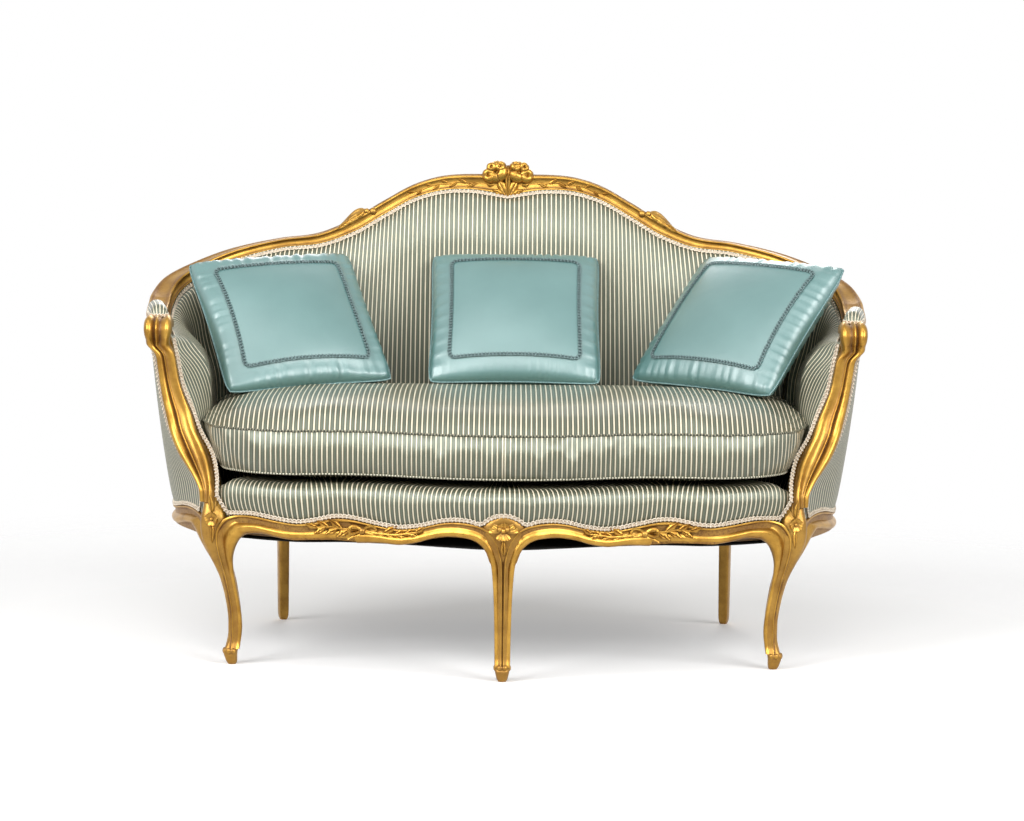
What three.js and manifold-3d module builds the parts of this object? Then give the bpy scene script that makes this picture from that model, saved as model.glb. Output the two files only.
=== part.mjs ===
// A giltwood settee in the corbeille form: its back and arms are one basket-shaped wall on five legs,
// with striped upholstery, a loose seat cushion and three loose pillows.
// Millimetres, +Z up, the front towards -Y. The right half (+X) is made first and mirrored for the left.
import * as THREE from "three";
import { mergeVertices } from "three/addons/utils/BufferGeometryUtils.js";
import Module from "manifold-3d";

const wasm = await Module();
wasm.setup();

// Clearances
const JOINT_GAP = 0.35; // between glued or seated pieces
const PAD_GAP = 0.5; // between upholstery layers
const REST_GAP = 0.3; // under a loose piece that rests on another

// The wall of the back and arms, on its outer face
const TOP_HALF_WIDTH = 725;
const TOP_WIDEST_Y = 60;
const TOP_BACK_Y = 335;
const SEAT_HALF_WIDTH = 668;
const SEAT_WIDEST_Y = 10;
const SEAT_BACK_Y = 268;
const WALL_FOOT = 290; // height where the wall starts, on the side seat rails
const ARM_HEIGHT = 668; // top of the arm rails at the front
const CREST_HEIGHT = 951; // top of the crest rail in the middle
const rearTaperShare = 0.12; // how much thinner a rear leg is at the foot
const cornerShare = 0.664; // how square the back corners are
const armBendShare = 0.45;
const flareShare = 0.75; // the wall leans out faster near the seat

// Crest and arm rails
const TOP_RAIL_HEIGHT = 30;
const TOP_RAIL_DEPTH = 42;
const TOP_RAIL_PROUD = 2; // how far the rail stands out of the outer panels
const ORNAMENT_HALF_WIDTH = 50;
const ORNAMENT_RISE = 29; // above the crest
const ORNAMENT_DROP = 43; // below the crest
const ORNAMENT_DEPTH = 40;
const ORNAMENT_PROUD = 9;
const ORNAMENT_BEVEL = 5;
const LEAF_LENGTH = 27; // leaf on each shoulder of the crest
const LEAF_HEIGHT = 15;
const LEAF_DEPTH = 17;

// Arm supports
const SUPPORT_FOOT_X = 564;
const SUPPORT_FOOT_Y = -300;
const SUPPORT_FOOT_Z = 316;
const SUPPORT_TOP_X = 676;
const SUPPORT_TOP_Y = -206;
const SUPPORT_DROP = 16; // its top below the top of the arm rail
const SUPPORT_HALF_WIDTH = 22;
const SUPPORT_HALF_DEPTH = 19;
const SUPPORT_REBATE = 8; // how far the wall's layers run into the support's back
const SUPPORT_TENON = 14;
const SUPPORT_TENON_LENGTH = 18;
const SCROLL_RADIUS = 18;
const SCROLL_WIDTH = 52;

// Front legs
const CORNER_FOOT_X = 522;
const CORNER_FOOT_Y = -258;
const CORNER_KNEE_OUT = 52; // how far the knee stands out along the diagonal
const CORNER_HALF_DIAGONAL = 34;
const CENTRE_LEG_HEIGHT = 314;
const CENTRE_FOOT_Y = -419;
const CENTRE_KNEE_OUT = 24;
const CENTRE_HALF_WIDTH = 44;
const CENTRE_HALF_DEPTH = 27;

// Rear legs and stiles
const REAR_FOOT_X = 470;
const REAR_FOOT_Y = 280;
const REAR_HALF_WIDTH = 13;
const REAR_HALF_DEPTH = 14;
const STILE_INSET = 14.5; // centre line of the stile behind the wall's outer face

// Seat rails
const FRONT_HALF_WIDTH = 560;
const FRONT_CORNER_Y = -302;
const FRONT_BOW = 164;
const FRONT_RAIL_TOP = 300;
const FRONT_RAIL_BOTTOM = 261;
const RAIL_WAVE = 12; // how much the rail edges rise and fall
const SIDE_RAIL_TOP = 288;
const SIDE_RAIL_BOTTOM = 252;
const SEAT_RAIL_DEPTH = 32;
const SEAT_RAIL_PROUD = 3;
const RAIL_LIP = 13; // thickness of the moulded lip in front of the rebate
const REBATE_HEIGHT = 279; // level where the webbing is tacked on
const RAIL_TENON_HEIGHT = 10;
const RAIL_TENON_WIDTH = 11;
const RAIL_TENON_LENGTH = 14; // into a front leg
const STILE_TENON_LENGTH = 8; // into a rear leg, from each side
const RAIL_TENON_RISE = 266; // height of the tenons' centre line
const BLOCK_HEIGHT = 20;

// Upholstery
const WEBBING = 3;
const STRAP_WIDTH = 70;
const STRAP_SPACE = 110;
const PANEL = 3; // outer fabric panels
const PANEL_INSET = 2;
const PAD_INSET = 30; // back of the pads behind the wall's outer face
const BACK_PAD = 47;
const ARM_PAD = 36;
const PAD_EDGE = 10;
const DECK_TOP = 372;
const DECK_GAP = 2; // to the tack rails
const DECK_INSET = 10.5;
const DECK_ROLL = 11;
const TACK_RAIL_FOOT = 334;
const TACK_RAIL_DEPTH = 20;
const MANCHETTE_HEIGHT = 28;
const MANCHETTE_WIDTH = 33;
const DUST_COVER = 2;

// Seat cushion
const CUSHION_CORNER_Y = -262;
const CUSHION_BOW = 188; // from the front corners to the middle of the front
const CUSHION_CLEARANCE = 6; // to the pads, and of the front corners to the arm supports
const CUSHION_BAND = 82; // height of the boxed edge between the pipings
const CUSHION_BELLY = 14; // how far the underside hangs below the lower piping
const CUSHION_CROWN = 65;
const CUSHION_BULGE = 4;
const CUSHION_FLARE = 9; // how much wider the upper piping is than the lower

// Pillows
const PILLOW_SIDE = 352;
const PILLOW_THICKNESS = 112;
const sideDrawShare = 0.055; // how far each side is drawn in between its corners
const LEFT_PILLOW_FROM_ARM = 284; // middle of the pillow to the widest point of the wall
const LEFT_PILLOW_FROM_BACK = 283;
const CENTRE_PILLOW_OFFSET = 18;
const CENTRE_PILLOW_FROM_BACK = 227;
const RIGHT_PILLOW_FROM_ARM = 255;
const RIGHT_PILLOW_FROM_BACK = 307;

// Height of the top rail: place along the half wall (0 middle, 1 widest point, 2 arm support),
// share of the rise from the arm to the crest
const railTopShares = [
  [0, 1],
  [0.09, 0.99],
  [0.145, 0.925],
  [0.2, 0.8],
  [0.26, 0.66],
  [0.33, 0.553],
  [0.42, 0.512],
  [0.55, 0.437],
  [0.7, 0.328],
  [0.85, 0.228],
  [0.96, 0.14],
  [1.1, 0.07],
  [1.4, 0.02],
  [2, 0],
];
// Upright thickness of the top rail along the same places, as a share of its height
const railHeightShares = [
  [0, 1.47],
  [0.05, 1.12],
  [0.12, 1],
  [0.24, 0.95],
  [0.33, 0.74],
  [0.42, 0.64],
  [0.6, 0.74],
  [0.8, 0.9],
  [1, 1],
  [2, 0.92],
];
// Moulded section of the top rail: share of the depth inwards, share of the height down from the top
const railSectionShares = [
  [0.1, 0],
  [0, 0.18],
  [0.05, 0.5],
  [0, 0.82],
  [0.12, 1],
  [0.92, 1],
  [1, 0.9],
  [0.93, 0.76],
  [0.86, 0.52],
  [0.93, 0.34],
  [1, 0.16],
  [0.94, 0.02],
];
// Right half of the crest ornament's outline, from its stem to the middle of its top: the control
// point and end of each curve, as shares of the half width and the rise
const ornamentShares = [
  [0.2, 0.12, 0.5, 0.2],
  [0.5, 0.42, 0.96, 0.52],
  [1.06, 0.78, 0.74, 0.82],
  [0.56, 1.04, 0.26, 1],
  [0.1, 0.98, 0, 0.9],
];
// Profile of the scroll that ends an arm rail: share of the radius, share of the half width
const scrollShares = [
  [0, -1],
  [0.7, -1],
  [0.95, -0.75],
  [0.82, -0.42],
  [1, 0],
  [0.82, 0.42],
  [0.95, 0.75],
  [0.7, 1],
  [0, 1],
];
// Arm support: share of its height, share of the outward lean, share of the backward sweep,
// half width and half depth as shares
const supportShares = [
  [0, 0, 0, 0.68, 0.75],
  [0.1, 0.02, 0.1, 0.8, 0.85],
  [0.18, 0.12, 0.34, 1.15, 1],
  [0.28, 0.3, 0.66, 1.45, 1.05],
  [0.4, 0.52, 0.92, 1.25, 1],
  [0.54, 0.68, 1.06, 1.1, 0.95],
  [0.66, 0.79, 1.1, 0.9, 0.9],
  [0.81, 0.87, 1.08, 0.86, 0.85],
  [1, 1, 1, 0.95, 0.85],
];
// Section of the arm support: two bands with a groove between them on the front face
const supportSectionShares = [
  [-1, 0],
  [-0.88, -0.7],
  [-0.45, -1],
  [-0.06, -0.84],
  [0.1, -0.6],
  [0.3, -0.82],
  [0.66, -0.95],
  [0.94, -0.6],
  [1, 0],
  [0.94, 0.9],
  [-0.94, 0.9],
];
// Corner leg: share of the height, share of the knee's reach, share of the half diagonal
const cornerLegShares = [
  [0, 0.12, 0.32],
  [0.03, 0.16, 0.46],
  [0.08, 0.2, 0.52],
  [0.14, 0.05, 0.5],
  [0.22, 0, 0.5],
  [0.34, 0.03, 0.485],
  [0.5, 0.24, 0.5],
  [0.6, 0.49, 0.6],
  [0.7, 0.76, 0.79],
  [0.78, 0.93, 0.96],
  [0.86, 1, 1],
  [1, 0.98, 0.98],
];
// Section of the corner leg, its first coordinate along the outward diagonal: two ridges with a groove
const cornerSectionShares = [
  [0.84, 0],
  [0.95, 0.16],
  [0.62, 0.5],
  [0.2, 0.9],
  [0, 0.95],
  [-0.2, 0.86],
  [-0.84, 0.18],
  [-0.92, 0],
  [-0.84, -0.18],
  [-0.2, -0.86],
  [0, -0.95],
  [0.2, -0.9],
  [0.62, -0.5],
  [0.95, -0.16],
];
// Centre leg: share of the height, share of the knee's reach, half width and half depth as shares
const centreLegShares = [
  [0, 0.1, 0.25, 0.42],
  [0.03, 0.14, 0.32, 0.56],
  [0.08, 0.16, 0.385, 0.66],
  [0.15, 0.02, 0.375, 0.6],
  [0.3, 0, 0.375, 0.58],
  [0.49, 0.25, 0.42, 0.64],
  [0.68, 0.72, 0.5, 0.82],
  [0.77, 0.93, 0.66, 0.95],
  [0.85, 1, 0.88, 1],
  [0.92, 1, 1, 1],
  [1, 1, 0.98, 1],
];
const centreSectionShares = [
  [0, -0.86],
  [0.2, -1],
  [0.8, -0.82],
  [1, -0.5],
  [0.96, 0.6],
  [0.7, 0.95],
  [-0.7, 0.95],
  [-0.96, 0.6],
  [-1, -0.5],
  [-0.8, -0.82],
  [-0.2, -1],
];
// Plan of the seat front: share of the half width, share of the bow
const frontPlanShares = [
  [0, 1],
  [0.09, 0.975],
  [0.19, 0.85],
  [0.37, 0.6],
  [0.54, 0.46],
  [0.7, 0.49],
  [0.84, 0.31],
  [0.93, 0.13],
  [1, 0],
];
// Upper and lower edge of the front rails along the half width, as shares of the wave
const frontEdgeShares = [
  [0.05, 0.2, -1.3],
  [0.08, -0.1, 0.6],
  [0.14, 0.7, 1.15],
  [0.19, 0.92, 1],
  [0.26, 0.2, 0],
  [0.36, -1.05, -1],
  [0.46, -0.1, -0.8],
  [0.545, 0.85, -0.4],
  [0.63, 0.3, 0],
  [0.71, -0.3, -0.1],
  [0.8, 0.1, 0.6],
  [0.88, 0.75, 0.6],
  [0.93, 0.5, -0.4],
  [0.98, 0, -1.6],
];
// Section of a seat rail's moulded face: share of the lip inwards, share of the height up
const seatRailFaceShares = [
  [0.5, 0],
  [0.1, 0.14],
  [0, 0.38],
  [0.2, 0.62],
  [0.5, 0.76],
  [0.26, 0.88],
  [0.34, 1],
];
// Upper edge of the side and rear rails along the wall, as shares of the wave
const sideEdgeShares = [
  [0, 0],
  [0.4, 0],
  [1.3, 0],
  [1.62, 0.9],
  [1.85, 0.85],
  [2, -0.2],
];
// Front of the seat cushion: share of the half width, share of the bow
const cushionFrontShares = [
  [0, 1],
  [0.15, 0.965],
  [0.288, 0.84],
  [0.43, 0.68],
  [0.52, 0.635],
  [0.62, 0.63],
  [0.745, 0.67],
  [0.857, 0.55],
  [0.94, 0.33],
  [0.985, 0.12],
];
// Front of the seat deck from its foot to its top: share of the roll outwards, share of the height
const deckShares = [
  [0, 0],
  [0, 0.34],
  [0.85, 0.56],
  [0.7, 0.78],
  [-0.5, 0.95],
  [-2.5, 1],
];
// Rings of the cushion's underside: share of the half depth inwards, share of the belly
const bellyShares = [
  [0.35, 0],
  [0.1, 0.35],
];
// Rings of its boxed edge: shares of the flare, the bulge and the height of the band
const bandShares = [
  [0, -1, 0],
  [0.2, 0.6, 0.35],
  [0.8, 1, 0.75],
  [1, 0, 1],
];
// Rings of its top: share of the half depth inwards, share of the crown
const crownShares = [
  [0.06, 0.22],
  [0.16, 0.52],
  [0.36, 0.8],
  [0.62, 0.96],
  [0.86, 1],
];

const lerp = THREE.MathUtils.lerp;
const clamp = THREE.MathUtils.clamp;

// Smooth curve through the rows of a table, one value for each column after the first.
function along(table, place) {
  const last = table.length - 1;
  const at = clamp(place, table[0][0], table[last][0]);
  let row = 0;
  while (row < last - 1 && table[row + 1][0] < at) row += 1;
  const span = table[row + 1][0] - table[row][0];
  const part = (at - table[row][0]) / span;
  const slope = (index, column) => {
    if (index === 0 || index === last) {
      const inner = index === 0 ? 1 : last - 1;
      return (table[index][column] - table[inner][column]) / (table[index][0] - table[inner][0]);
    }
    const rise = table[index + 1][column] - table[index - 1][column];
    return rise / (table[index + 1][0] - table[index - 1][0]);
  };
  return table[0].slice(1).map((_, index) => {
    const column = index + 1;
    const a = table[row][column];
    const b = table[row + 1][column];
    const cubicPart = part * part * (3 - 2 * part);
    const leaving = part * (1 - part) * (1 - part) * span * slope(row, column);
    const arriving = part * part * (1 - part) * span * slope(row + 1, column);
    return lerp(a, b, cubicPart) + leaving - arriving;
  });
}

function bezier(a, b, c, d, t) {
  const u = 1 - t;
  return a * u * u * u + 3 * b * t * u * u + 3 * c * t * t * u + d * t * t * t;
}

function steps(from, to, count) {
  return Array.from({ length: count + 1 }, (_, index) => lerp(from, to, index / count));
}

// Closed geometry from positions and faces, turned so that its faces point out.
function closed(points, faces) {
  let volume = 0;
  for (const [a, b, c] of faces) volume += points[a].dot(points[b].clone().cross(points[c]));
  const turned = volume < 0 ? faces.map(([a, b, c]) => [a, c, b]) : faces;
  const geometry = new THREE.BufferGeometry().setFromPoints(points);
  geometry.setIndex(turned.flat());
  return geometry;
}

// Faces of an end cap, from its outline in two dimensions.
function flatCap(outline) {
  const turn = THREE.ShapeUtils.isClockWise(outline);
  const faces = THREE.ShapeUtils.triangulateShape(outline, []);
  return turn ? faces.map(([a, b, c]) => [a, c, b]) : faces;
}

// Faces of an end cap between two equal rows of points, the second row running back.
function ladderCap(outline) {
  const last = outline.length - 1;
  return steps(0, last, last)
    .slice(0, outline.length / 2 - 1)
    .flatMap((rung) => [
      [rung, rung + 1, last - rung - 1],
      [rung, last - rung - 1, last - rung],
    ]);
}

// Skin over rings of equal count, closed by caps whose outlines are given in two dimensions.
function loft(rings, firstOutline, lastOutline, cap = flatCap) {
  const count = rings[0].length;
  const points = rings.flat();
  const end = count * (rings.length - 1);
  const faces = cap(firstOutline).map(([a, b, c]) => [a, c, b]);
  faces.push(...cap(lastOutline).map((face) => face.map((index) => index + end)));
  for (let ring = 0; ring < rings.length - 1; ring += 1) {
    for (let side = 0; side < count; side += 1) {
      const a = ring * count + side;
      const b = ring * count + ((side + 1) % count);
      const c = b + count;
      const d = a + count;
      if (points[a].distanceTo(points[c]) < points[b].distanceTo(points[d])) {
        faces.push([a, b, c], [a, c, d]);
      } else {
        faces.push([a, b, d], [b, c, d]);
      }
    }
  }
  return closed(points, faces);
}

// Sweep of a changing section, whose points are an inset and a height, placed on a curved wall.
function sweep(stations, section, place, cap = flatCap) {
  const rings = stations.map((station) => section(station).map((p) => place(station, p.x, p.y)));
  return loft(rings, section(stations[0]), section(stations.at(-1)), cap);
}

function solid(geometry) {
  const bare = geometry.clone();
  bare.deleteAttribute("normal");
  bare.deleteAttribute("uv");
  const merged = mergeVertices(bare, 1e-4);
  return new wasm.Manifold(
    new wasm.Mesh({
      numProp: 3,
      vertProperties: new Float32Array(merged.attributes.position.array),
      triVerts: new Uint32Array(merged.index.array),
    }),
  );
}

function geometryOf(manifold) {
  const mesh = manifold.getMesh();
  const geometry = new THREE.BufferGeometry();
  geometry.setAttribute("position", new THREE.BufferAttribute(mesh.vertProperties, 3));
  geometry.setIndex(new THREE.BufferAttribute(mesh.triVerts, 1));
  return geometry;
}

function join(first, ...others) {
  return geometryOf(others.reduce((sum, other) => sum.add(solid(other)), solid(first)));
}

function cut(first, ...others) {
  return geometryOf(others.reduce((rest, other) => rest.subtract(solid(other)), solid(first)));
}

function meet(first, second) {
  return geometryOf(solid(first).intersect(solid(second)));
}

function mirrored(geometry) {
  const copy = geometry.clone().scale(-1, 1, 1);
  const order = copy.index.array;
  for (let face = 0; face < order.length; face += 3) {
    const second = order[face + 1];
    order[face + 1] = order[face + 2];
    order[face + 2] = second;
  }
  return copy;
}

function block(width, depth, height, x, y, z) {
  return new THREE.BoxGeometry(width, depth, height).translate(x, y, z);
}

// The wall of the back and arms

const supportTop = ARM_HEIGHT - SUPPORT_DROP;

function supportAt(height) {
  const share = (height - SUPPORT_FOOT_Z) / (supportTop - SUPPORT_FOOT_Z);
  const [out, back, wide, deep] = along(supportShares, share);
  return {
    x: lerp(SUPPORT_FOOT_X, SUPPORT_TOP_X, out),
    y: lerp(SUPPORT_FOOT_Y, SUPPORT_TOP_Y, back),
    halfWidth: SUPPORT_HALF_WIDTH * wide,
    halfDepth: SUPPORT_HALF_DEPTH * deep,
  };
}

function railTop(place) {
  return lerp(ARM_HEIGHT, CREST_HEIGHT, along(railTopShares, Math.abs(place))[0]);
}

function railThickness(place) {
  return TOP_RAIL_HEIGHT * along(railHeightShares, Math.abs(place))[0];
}

function planAt(place, height) {
  const t = Math.abs(place);
  const rise = (height - WALL_FOOT) / (railTop(t) - WALL_FOOT);
  const lean = Math.pow(clamp(rise, 0, 1), flareShare);
  const half = lerp(SEAT_HALF_WIDTH, TOP_HALF_WIDTH, lean);
  const wideY = lerp(SEAT_WIDEST_Y, TOP_WIDEST_Y, lean);
  const backY = lerp(SEAT_BACK_Y, TOP_BACK_Y, lean);
  let x;
  let y;
  if (t <= 1) {
    x = bezier(0, half * cornerShare, half, half, t);
    y = bezier(backY, backY, lerp(wideY, backY, cornerShare), wideY, t);
  } else {
    const support = supportAt(height);
    const frontX = support.x + support.halfWidth - PANEL;
    const frontY = support.y + support.halfDepth - SUPPORT_REBATE;
    x = bezier(half, half, lerp(half, frontX, armBendShare), frontX, t - 1);
    y = bezier(
      wideY,
      lerp(wideY, frontY, armBendShare),
      lerp(frontY, wideY, armBendShare),
      frontY,
      t - 1,
    );
  }
  return new THREE.Vector2(place < 0 ? -x : x, y);
}

const planStepShare = 0.001;

function wallDirections(place, height) {
  const before = planAt(place - planStepShare, height);
  const after = planAt(place + planStepShare, height);
  const tangent = after.sub(before).normalize();
  return { tangent, inward: new THREE.Vector2(tangent.y, -tangent.x) };
}

// Point of the wall at a place and a height, moved inwards from the outer face.
function wallPoint(place, inset, height) {
  const base = planAt(place, height);
  const { inward } = wallDirections(place, height);
  return new THREE.Vector3(base.x + inward.x * inset, base.y + inward.y * inset, height);
}

const crestJointPlace = 0.39; // where the crest rail meets an arm rail
const stilePlace = 0.455; // centre line of a rear leg
const stileHalfShare = 0.0155; // half the width of a rear leg, along the wall
const stileEdgeShare = 0.0173; // the same with its joint to the outer panels
const seamPlace = 0.64; // where the inside of the back meets an inside arm
const frontEdgePlace = 1.999; // where the layers end inside an arm support
const jointGapShare = 0.0005;
const wallRowShares = [0.13, 0.28, 0.47, 0.72, 1];
const wallPlaces = [
  ...steps(0, crestJointPlace, 8),
  stilePlace - stileEdgeShare,
  stilePlace + stileEdgeShare,
  ...steps(lerp(crestJointPlace, seamPlace, 0.6), seamPlace, 2),
  ...steps(seamPlace, 1, 4).slice(1),
  ...steps(1, 2, 6).slice(1),
];

// Stations shared by all pieces on the wall, so that neighbouring layers have the same facets.
function placesBetween(from, to) {
  const all = [...wallPlaces.slice(1).reverse().map((place) => -place), ...wallPlaces];
  const inner = all.filter((place) => place > from + planStepShare && place < to - planStepShare);
  return [from, ...inner, to];
}

function railBottom(place) {
  return railTop(place) - railThickness(place);
}

// Heights shared by all layers on the wall, from the seat rails to the underside of the top rail.
function wallLevels(place, foot) {
  const high = railBottom(place) - JOINT_GAP;
  const low = DECK_TOP + PAD_GAP;
  const levels = [TACK_RAIL_FOOT, low, ...wallRowShares.map((share) => lerp(low, high, share))];
  return [foot, ...levels.filter((level) => level > foot)];
}

// Crest rail, arm rails and arm supports

function railSection(place, grow) {
  const depth = TOP_RAIL_DEPTH;
  const height = railThickness(place);
  const top = railTop(place);
  return railSectionShares.map(([inwards, down]) => {
    const side = Math.sign(inwards - 0.5);
    const level = Math.sign(0.5 - down);
    return new THREE.Vector2(
      inwards * depth - TOP_RAIL_PROUD + side * grow,
      top - down * height + level * grow,
    );
  });
}

function railSweep(stations, grow = 0) {
  return sweep(stations, (place) => railSection(place, grow), wallPoint);
}

function ornament() {
  const outline = new THREE.Shape();
  const width = ORNAMENT_HALF_WIDTH;
  const foot = CREST_HEIGHT - ORNAMENT_DROP;
  const rise = ORNAMENT_RISE + ORNAMENT_DROP;
  const curves = ornamentShares.map(([controlX, controlZ, x, z]) => {
    return [width * controlX, foot + rise * controlZ, width * x, foot + rise * z];
  });
  const ends = [[0, foot], ...curves.map(([, , x, z]) => [x, z])];
  outline.moveTo(0, foot);
  for (const curve of curves) outline.quadraticCurveTo(...curve);
  for (let index = curves.length - 1; index >= 0; index -= 1) {
    const [controlX, controlZ] = curves[index];
    const [x, z] = ends[index];
    outline.quadraticCurveTo(-controlX, controlZ, -x, z);
  }
  const shape = new THREE.ExtrudeGeometry(outline, {
    depth: ORNAMENT_DEPTH - 2 * ORNAMENT_BEVEL,
    bevelThickness: ORNAMENT_BEVEL,
    bevelSize: ORNAMENT_BEVEL,
    bevelOffset: -ORNAMENT_BEVEL,
    bevelSegments: 1,
    curveSegments: 4,
  });
  const front = TOP_BACK_Y + TOP_RAIL_PROUD - TOP_RAIL_DEPTH - ORNAMENT_PROUD;
  return shape.rotateX(Math.PI / 2).translate(0, front + ORNAMENT_DEPTH - ORNAMENT_BEVEL, 0);
}

const leafPlace = 0.245;
const leafStepShare = 0.03;

function shoulderLeaf() {
  const leaf = new THREE.SphereGeometry(1, 10, 6).scale(LEAF_LENGTH, LEAF_DEPTH, LEAF_HEIGHT);
  const nextPlace = leafPlace + leafStepShare;
  const middle = TOP_RAIL_DEPTH / 2 - TOP_RAIL_PROUD;
  const spot = wallPoint(leafPlace, middle, railTop(leafPlace));
  const next = wallPoint(nextPlace, middle, railTop(nextPlace));
  const slope = Math.atan2(spot.z - next.z, next.x - spot.x);
  return leaf.rotateY(slope).translate(spot.x, spot.y, spot.z);
}

function crestRail() {
  const leaf = shoulderLeaf();
  const end = crestJointPlace - jointGapShare;
  return join(railSweep(placesBetween(-end, end)), ornament(), leaf, mirrored(leaf));
}

function armScroll(grow) {
  const radius = SCROLL_RADIUS + grow;
  const half = SCROLL_WIDTH / 2 + grow;
  const profile = scrollShares.map(([out, place]) => new THREE.Vector2(out * radius, place * half));
  const reel = new THREE.LatheGeometry(profile, 12).rotateZ(Math.PI / 2);
  return reel.translate(SUPPORT_TOP_X, SUPPORT_TOP_Y, ARM_HEIGHT - SCROLL_RADIUS);
}

function armRail(grow = 0) {
  const start = crestJointPlace + jointGapShare;
  return join(railSweep(placesBetween(start, frontEdgePlace), grow), armScroll(grow));
}

const supportTurnShare = 0.5; // the part of its height over which a support turns to the front
const scrollNeckShare = 1.4; // depth of a support's head below the arm, in scroll radii

function supportRing(height, grow) {
  const { x, y, halfWidth, halfDepth } = supportAt(height);
  const share = (height - SUPPORT_FOOT_Z) / (supportTop - SUPPORT_FOOT_Z);
  const turn = lerp(Math.PI / 4, 0, clamp(share / supportTurnShare, 0, 1));
  return supportSectionShares.map(([across, deep]) => {
    const a = across * (halfWidth + grow);
    const b = deep * (halfDepth + grow);
    return new THREE.Vector3(
      x + a * Math.cos(turn) - b * Math.sin(turn),
      y + a * Math.sin(turn) + b * Math.cos(turn),
      height,
    );
  });
}

function outlineOf(shares) {
  return shares.map(([x, y]) => new THREE.Vector2(x, y));
}

function supportTenon(grow) {
  const side = SUPPORT_TENON + 2 * grow;
  const length = SUPPORT_TENON_LENGTH + grow;
  return block(side, side, length * 2, SUPPORT_FOOT_X, SUPPORT_FOOT_Y, SUPPORT_FOOT_Z);
}

function armSupport(grow = 0) {
  const head = ARM_HEIGHT - SCROLL_RADIUS * scrollNeckShare;
  const foot = SUPPORT_FOOT_Z + JOINT_GAP - grow;
  const heights = supportShares.flatMap(([share], row) => {
    const next = supportShares[Math.min(row + 1, supportShares.length - 1)][0];
    return row < supportShares.length - 1 ? [share, (share + next) / 2] : [share];
  });
  const rings = heights.map((share) => supportRing(lerp(foot, head, share), grow));
  const outline = outlineOf(supportSectionShares);
  return join(loft(rings, outline, outline), supportTenon(0));
}

// Legs

function cornerLegRing(height, grow) {
  const share = height / SUPPORT_FOOT_Z;
  const [out, size] = along(cornerLegShares, share);
  const radius = CORNER_HALF_DIAGONAL * size + grow;
  const diagonal = Math.SQRT1_2;
  const x = CORNER_FOOT_X + CORNER_KNEE_OUT * out * diagonal;
  const y = CORNER_FOOT_Y - CORNER_KNEE_OUT * out * diagonal;
  return cornerSectionShares.map(([a, b]) => {
    return new THREE.Vector3(
      x + (a + b) * radius * diagonal,
      y + (b - a) * radius * diagonal,
      height,
    );
  });
}

function cornerLeg(grow = 0) {
  const rings = cornerLegShares.map(([share]) => {
    return cornerLegRing(share * (SUPPORT_FOOT_Z + grow), grow);
  });
  const outline = outlineOf(cornerSectionShares);
  return loft(rings, outline, outline);
}

function centreLegRing(height, grow) {
  const [out, wide, deep] = along(centreLegShares, height / CENTRE_LEG_HEIGHT);
  const y = CENTRE_FOOT_Y - CENTRE_KNEE_OUT * out;
  return centreSectionShares.map(([a, b]) => {
    return new THREE.Vector3(
      a * (CENTRE_HALF_WIDTH * wide + grow),
      y + b * (CENTRE_HALF_DEPTH * deep + grow),
      height,
    );
  });
}

function centreLeg(grow = 0) {
  const rings = centreLegShares.map(([share]) => {
    return centreLegRing(share * (CENTRE_LEG_HEIGHT + grow), grow);
  });
  const outline = outlineOf(centreSectionShares);
  return loft(rings, outline, outline);
}

const sabreShare = 1.6;
const stileSectionShares = [
  [-1, -0.8],
  [-0.85, -1],
  [0.85, -1],
  [1, -0.8],
  [1, 1],
  [-1, 1],
];

// The rear leg keeps its place on the wall above the seat and sweeps back below it.
function rearLegRing(height, grow) {
  const level = Math.max(height, WALL_FOOT);
  const foot = wallPoint(stilePlace, STILE_INSET, WALL_FOOT);
  const drop = Math.pow(clamp(1 - height / WALL_FOOT, 0, 1), sabreShare);
  const taper = 1 - rearTaperShare * drop;
  const growShare = (grow * stileHalfShare) / REAR_HALF_WIDTH;
  return stileSectionShares.map(([along, deep]) => {
    const place = stilePlace + along * (stileHalfShare * taper + growShare);
    const inset = STILE_INSET + deep * (REAR_HALF_DEPTH * taper + grow);
    const point = wallPoint(place, inset, level);
    point.x += (REAR_FOOT_X - foot.x) * drop;
    point.y += (REAR_FOOT_Y - foot.y) * drop;
    point.z = height;
    return point;
  });
}

function rearLeg(grow = 0) {
  const head = railBottom(stilePlace) + railThickness(stilePlace) / 2;
  const above = wallLevels(stilePlace, WALL_FOOT).slice(0, -1);
  const heights = [...steps(0, WALL_FOOT, 6).slice(0, -1), ...above, head];
  const rings = heights.map((height) => rearLegRing(height, grow));
  const outline = outlineOf(stileSectionShares);
  return loft(rings, outline, outline);
}

// Seat rails

function frontPlan(place) {
  const [bow] = along(frontPlanShares, Math.abs(place));
  return new THREE.Vector2(place * FRONT_HALF_WIDTH, FRONT_CORNER_Y - FRONT_BOW * bow);
}

function frontPoint(place, inset, height) {
  const base = frontPlan(place);
  const before = frontPlan(place - planStepShare);
  const tangent = frontPlan(place + planStepShare).sub(before).normalize();
  return new THREE.Vector3(base.x - tangent.y * inset, base.y + tangent.x * inset, height);
}

function seatRailSection(top, bottom, grow) {
  const face = seatRailFaceShares.map(([inwards, up]) => {
    const level = Math.sign(up - 0.5) * grow;
    return new THREE.Vector2(
      inwards * RAIL_LIP - SEAT_RAIL_PROUD - grow,
      lerp(bottom, top, up) + level,
    );
  });
  const back = SEAT_RAIL_DEPTH - SEAT_RAIL_PROUD + grow;
  return [
    ...face,
    new THREE.Vector2(RAIL_LIP - SEAT_RAIL_PROUD + grow, top + grow),
    new THREE.Vector2(RAIL_LIP - SEAT_RAIL_PROUD + grow, REBATE_HEIGHT + grow),
    new THREE.Vector2(back, REBATE_HEIGHT + grow),
    new THREE.Vector2(back, bottom - grow),
  ];
}

const frontRailStartPlace = 0.05;
const frontRailEndPlace = 0.975;
const frontPlaces = [0, ...steps(frontRailStartPlace, frontRailEndPlace, 22)];

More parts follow.
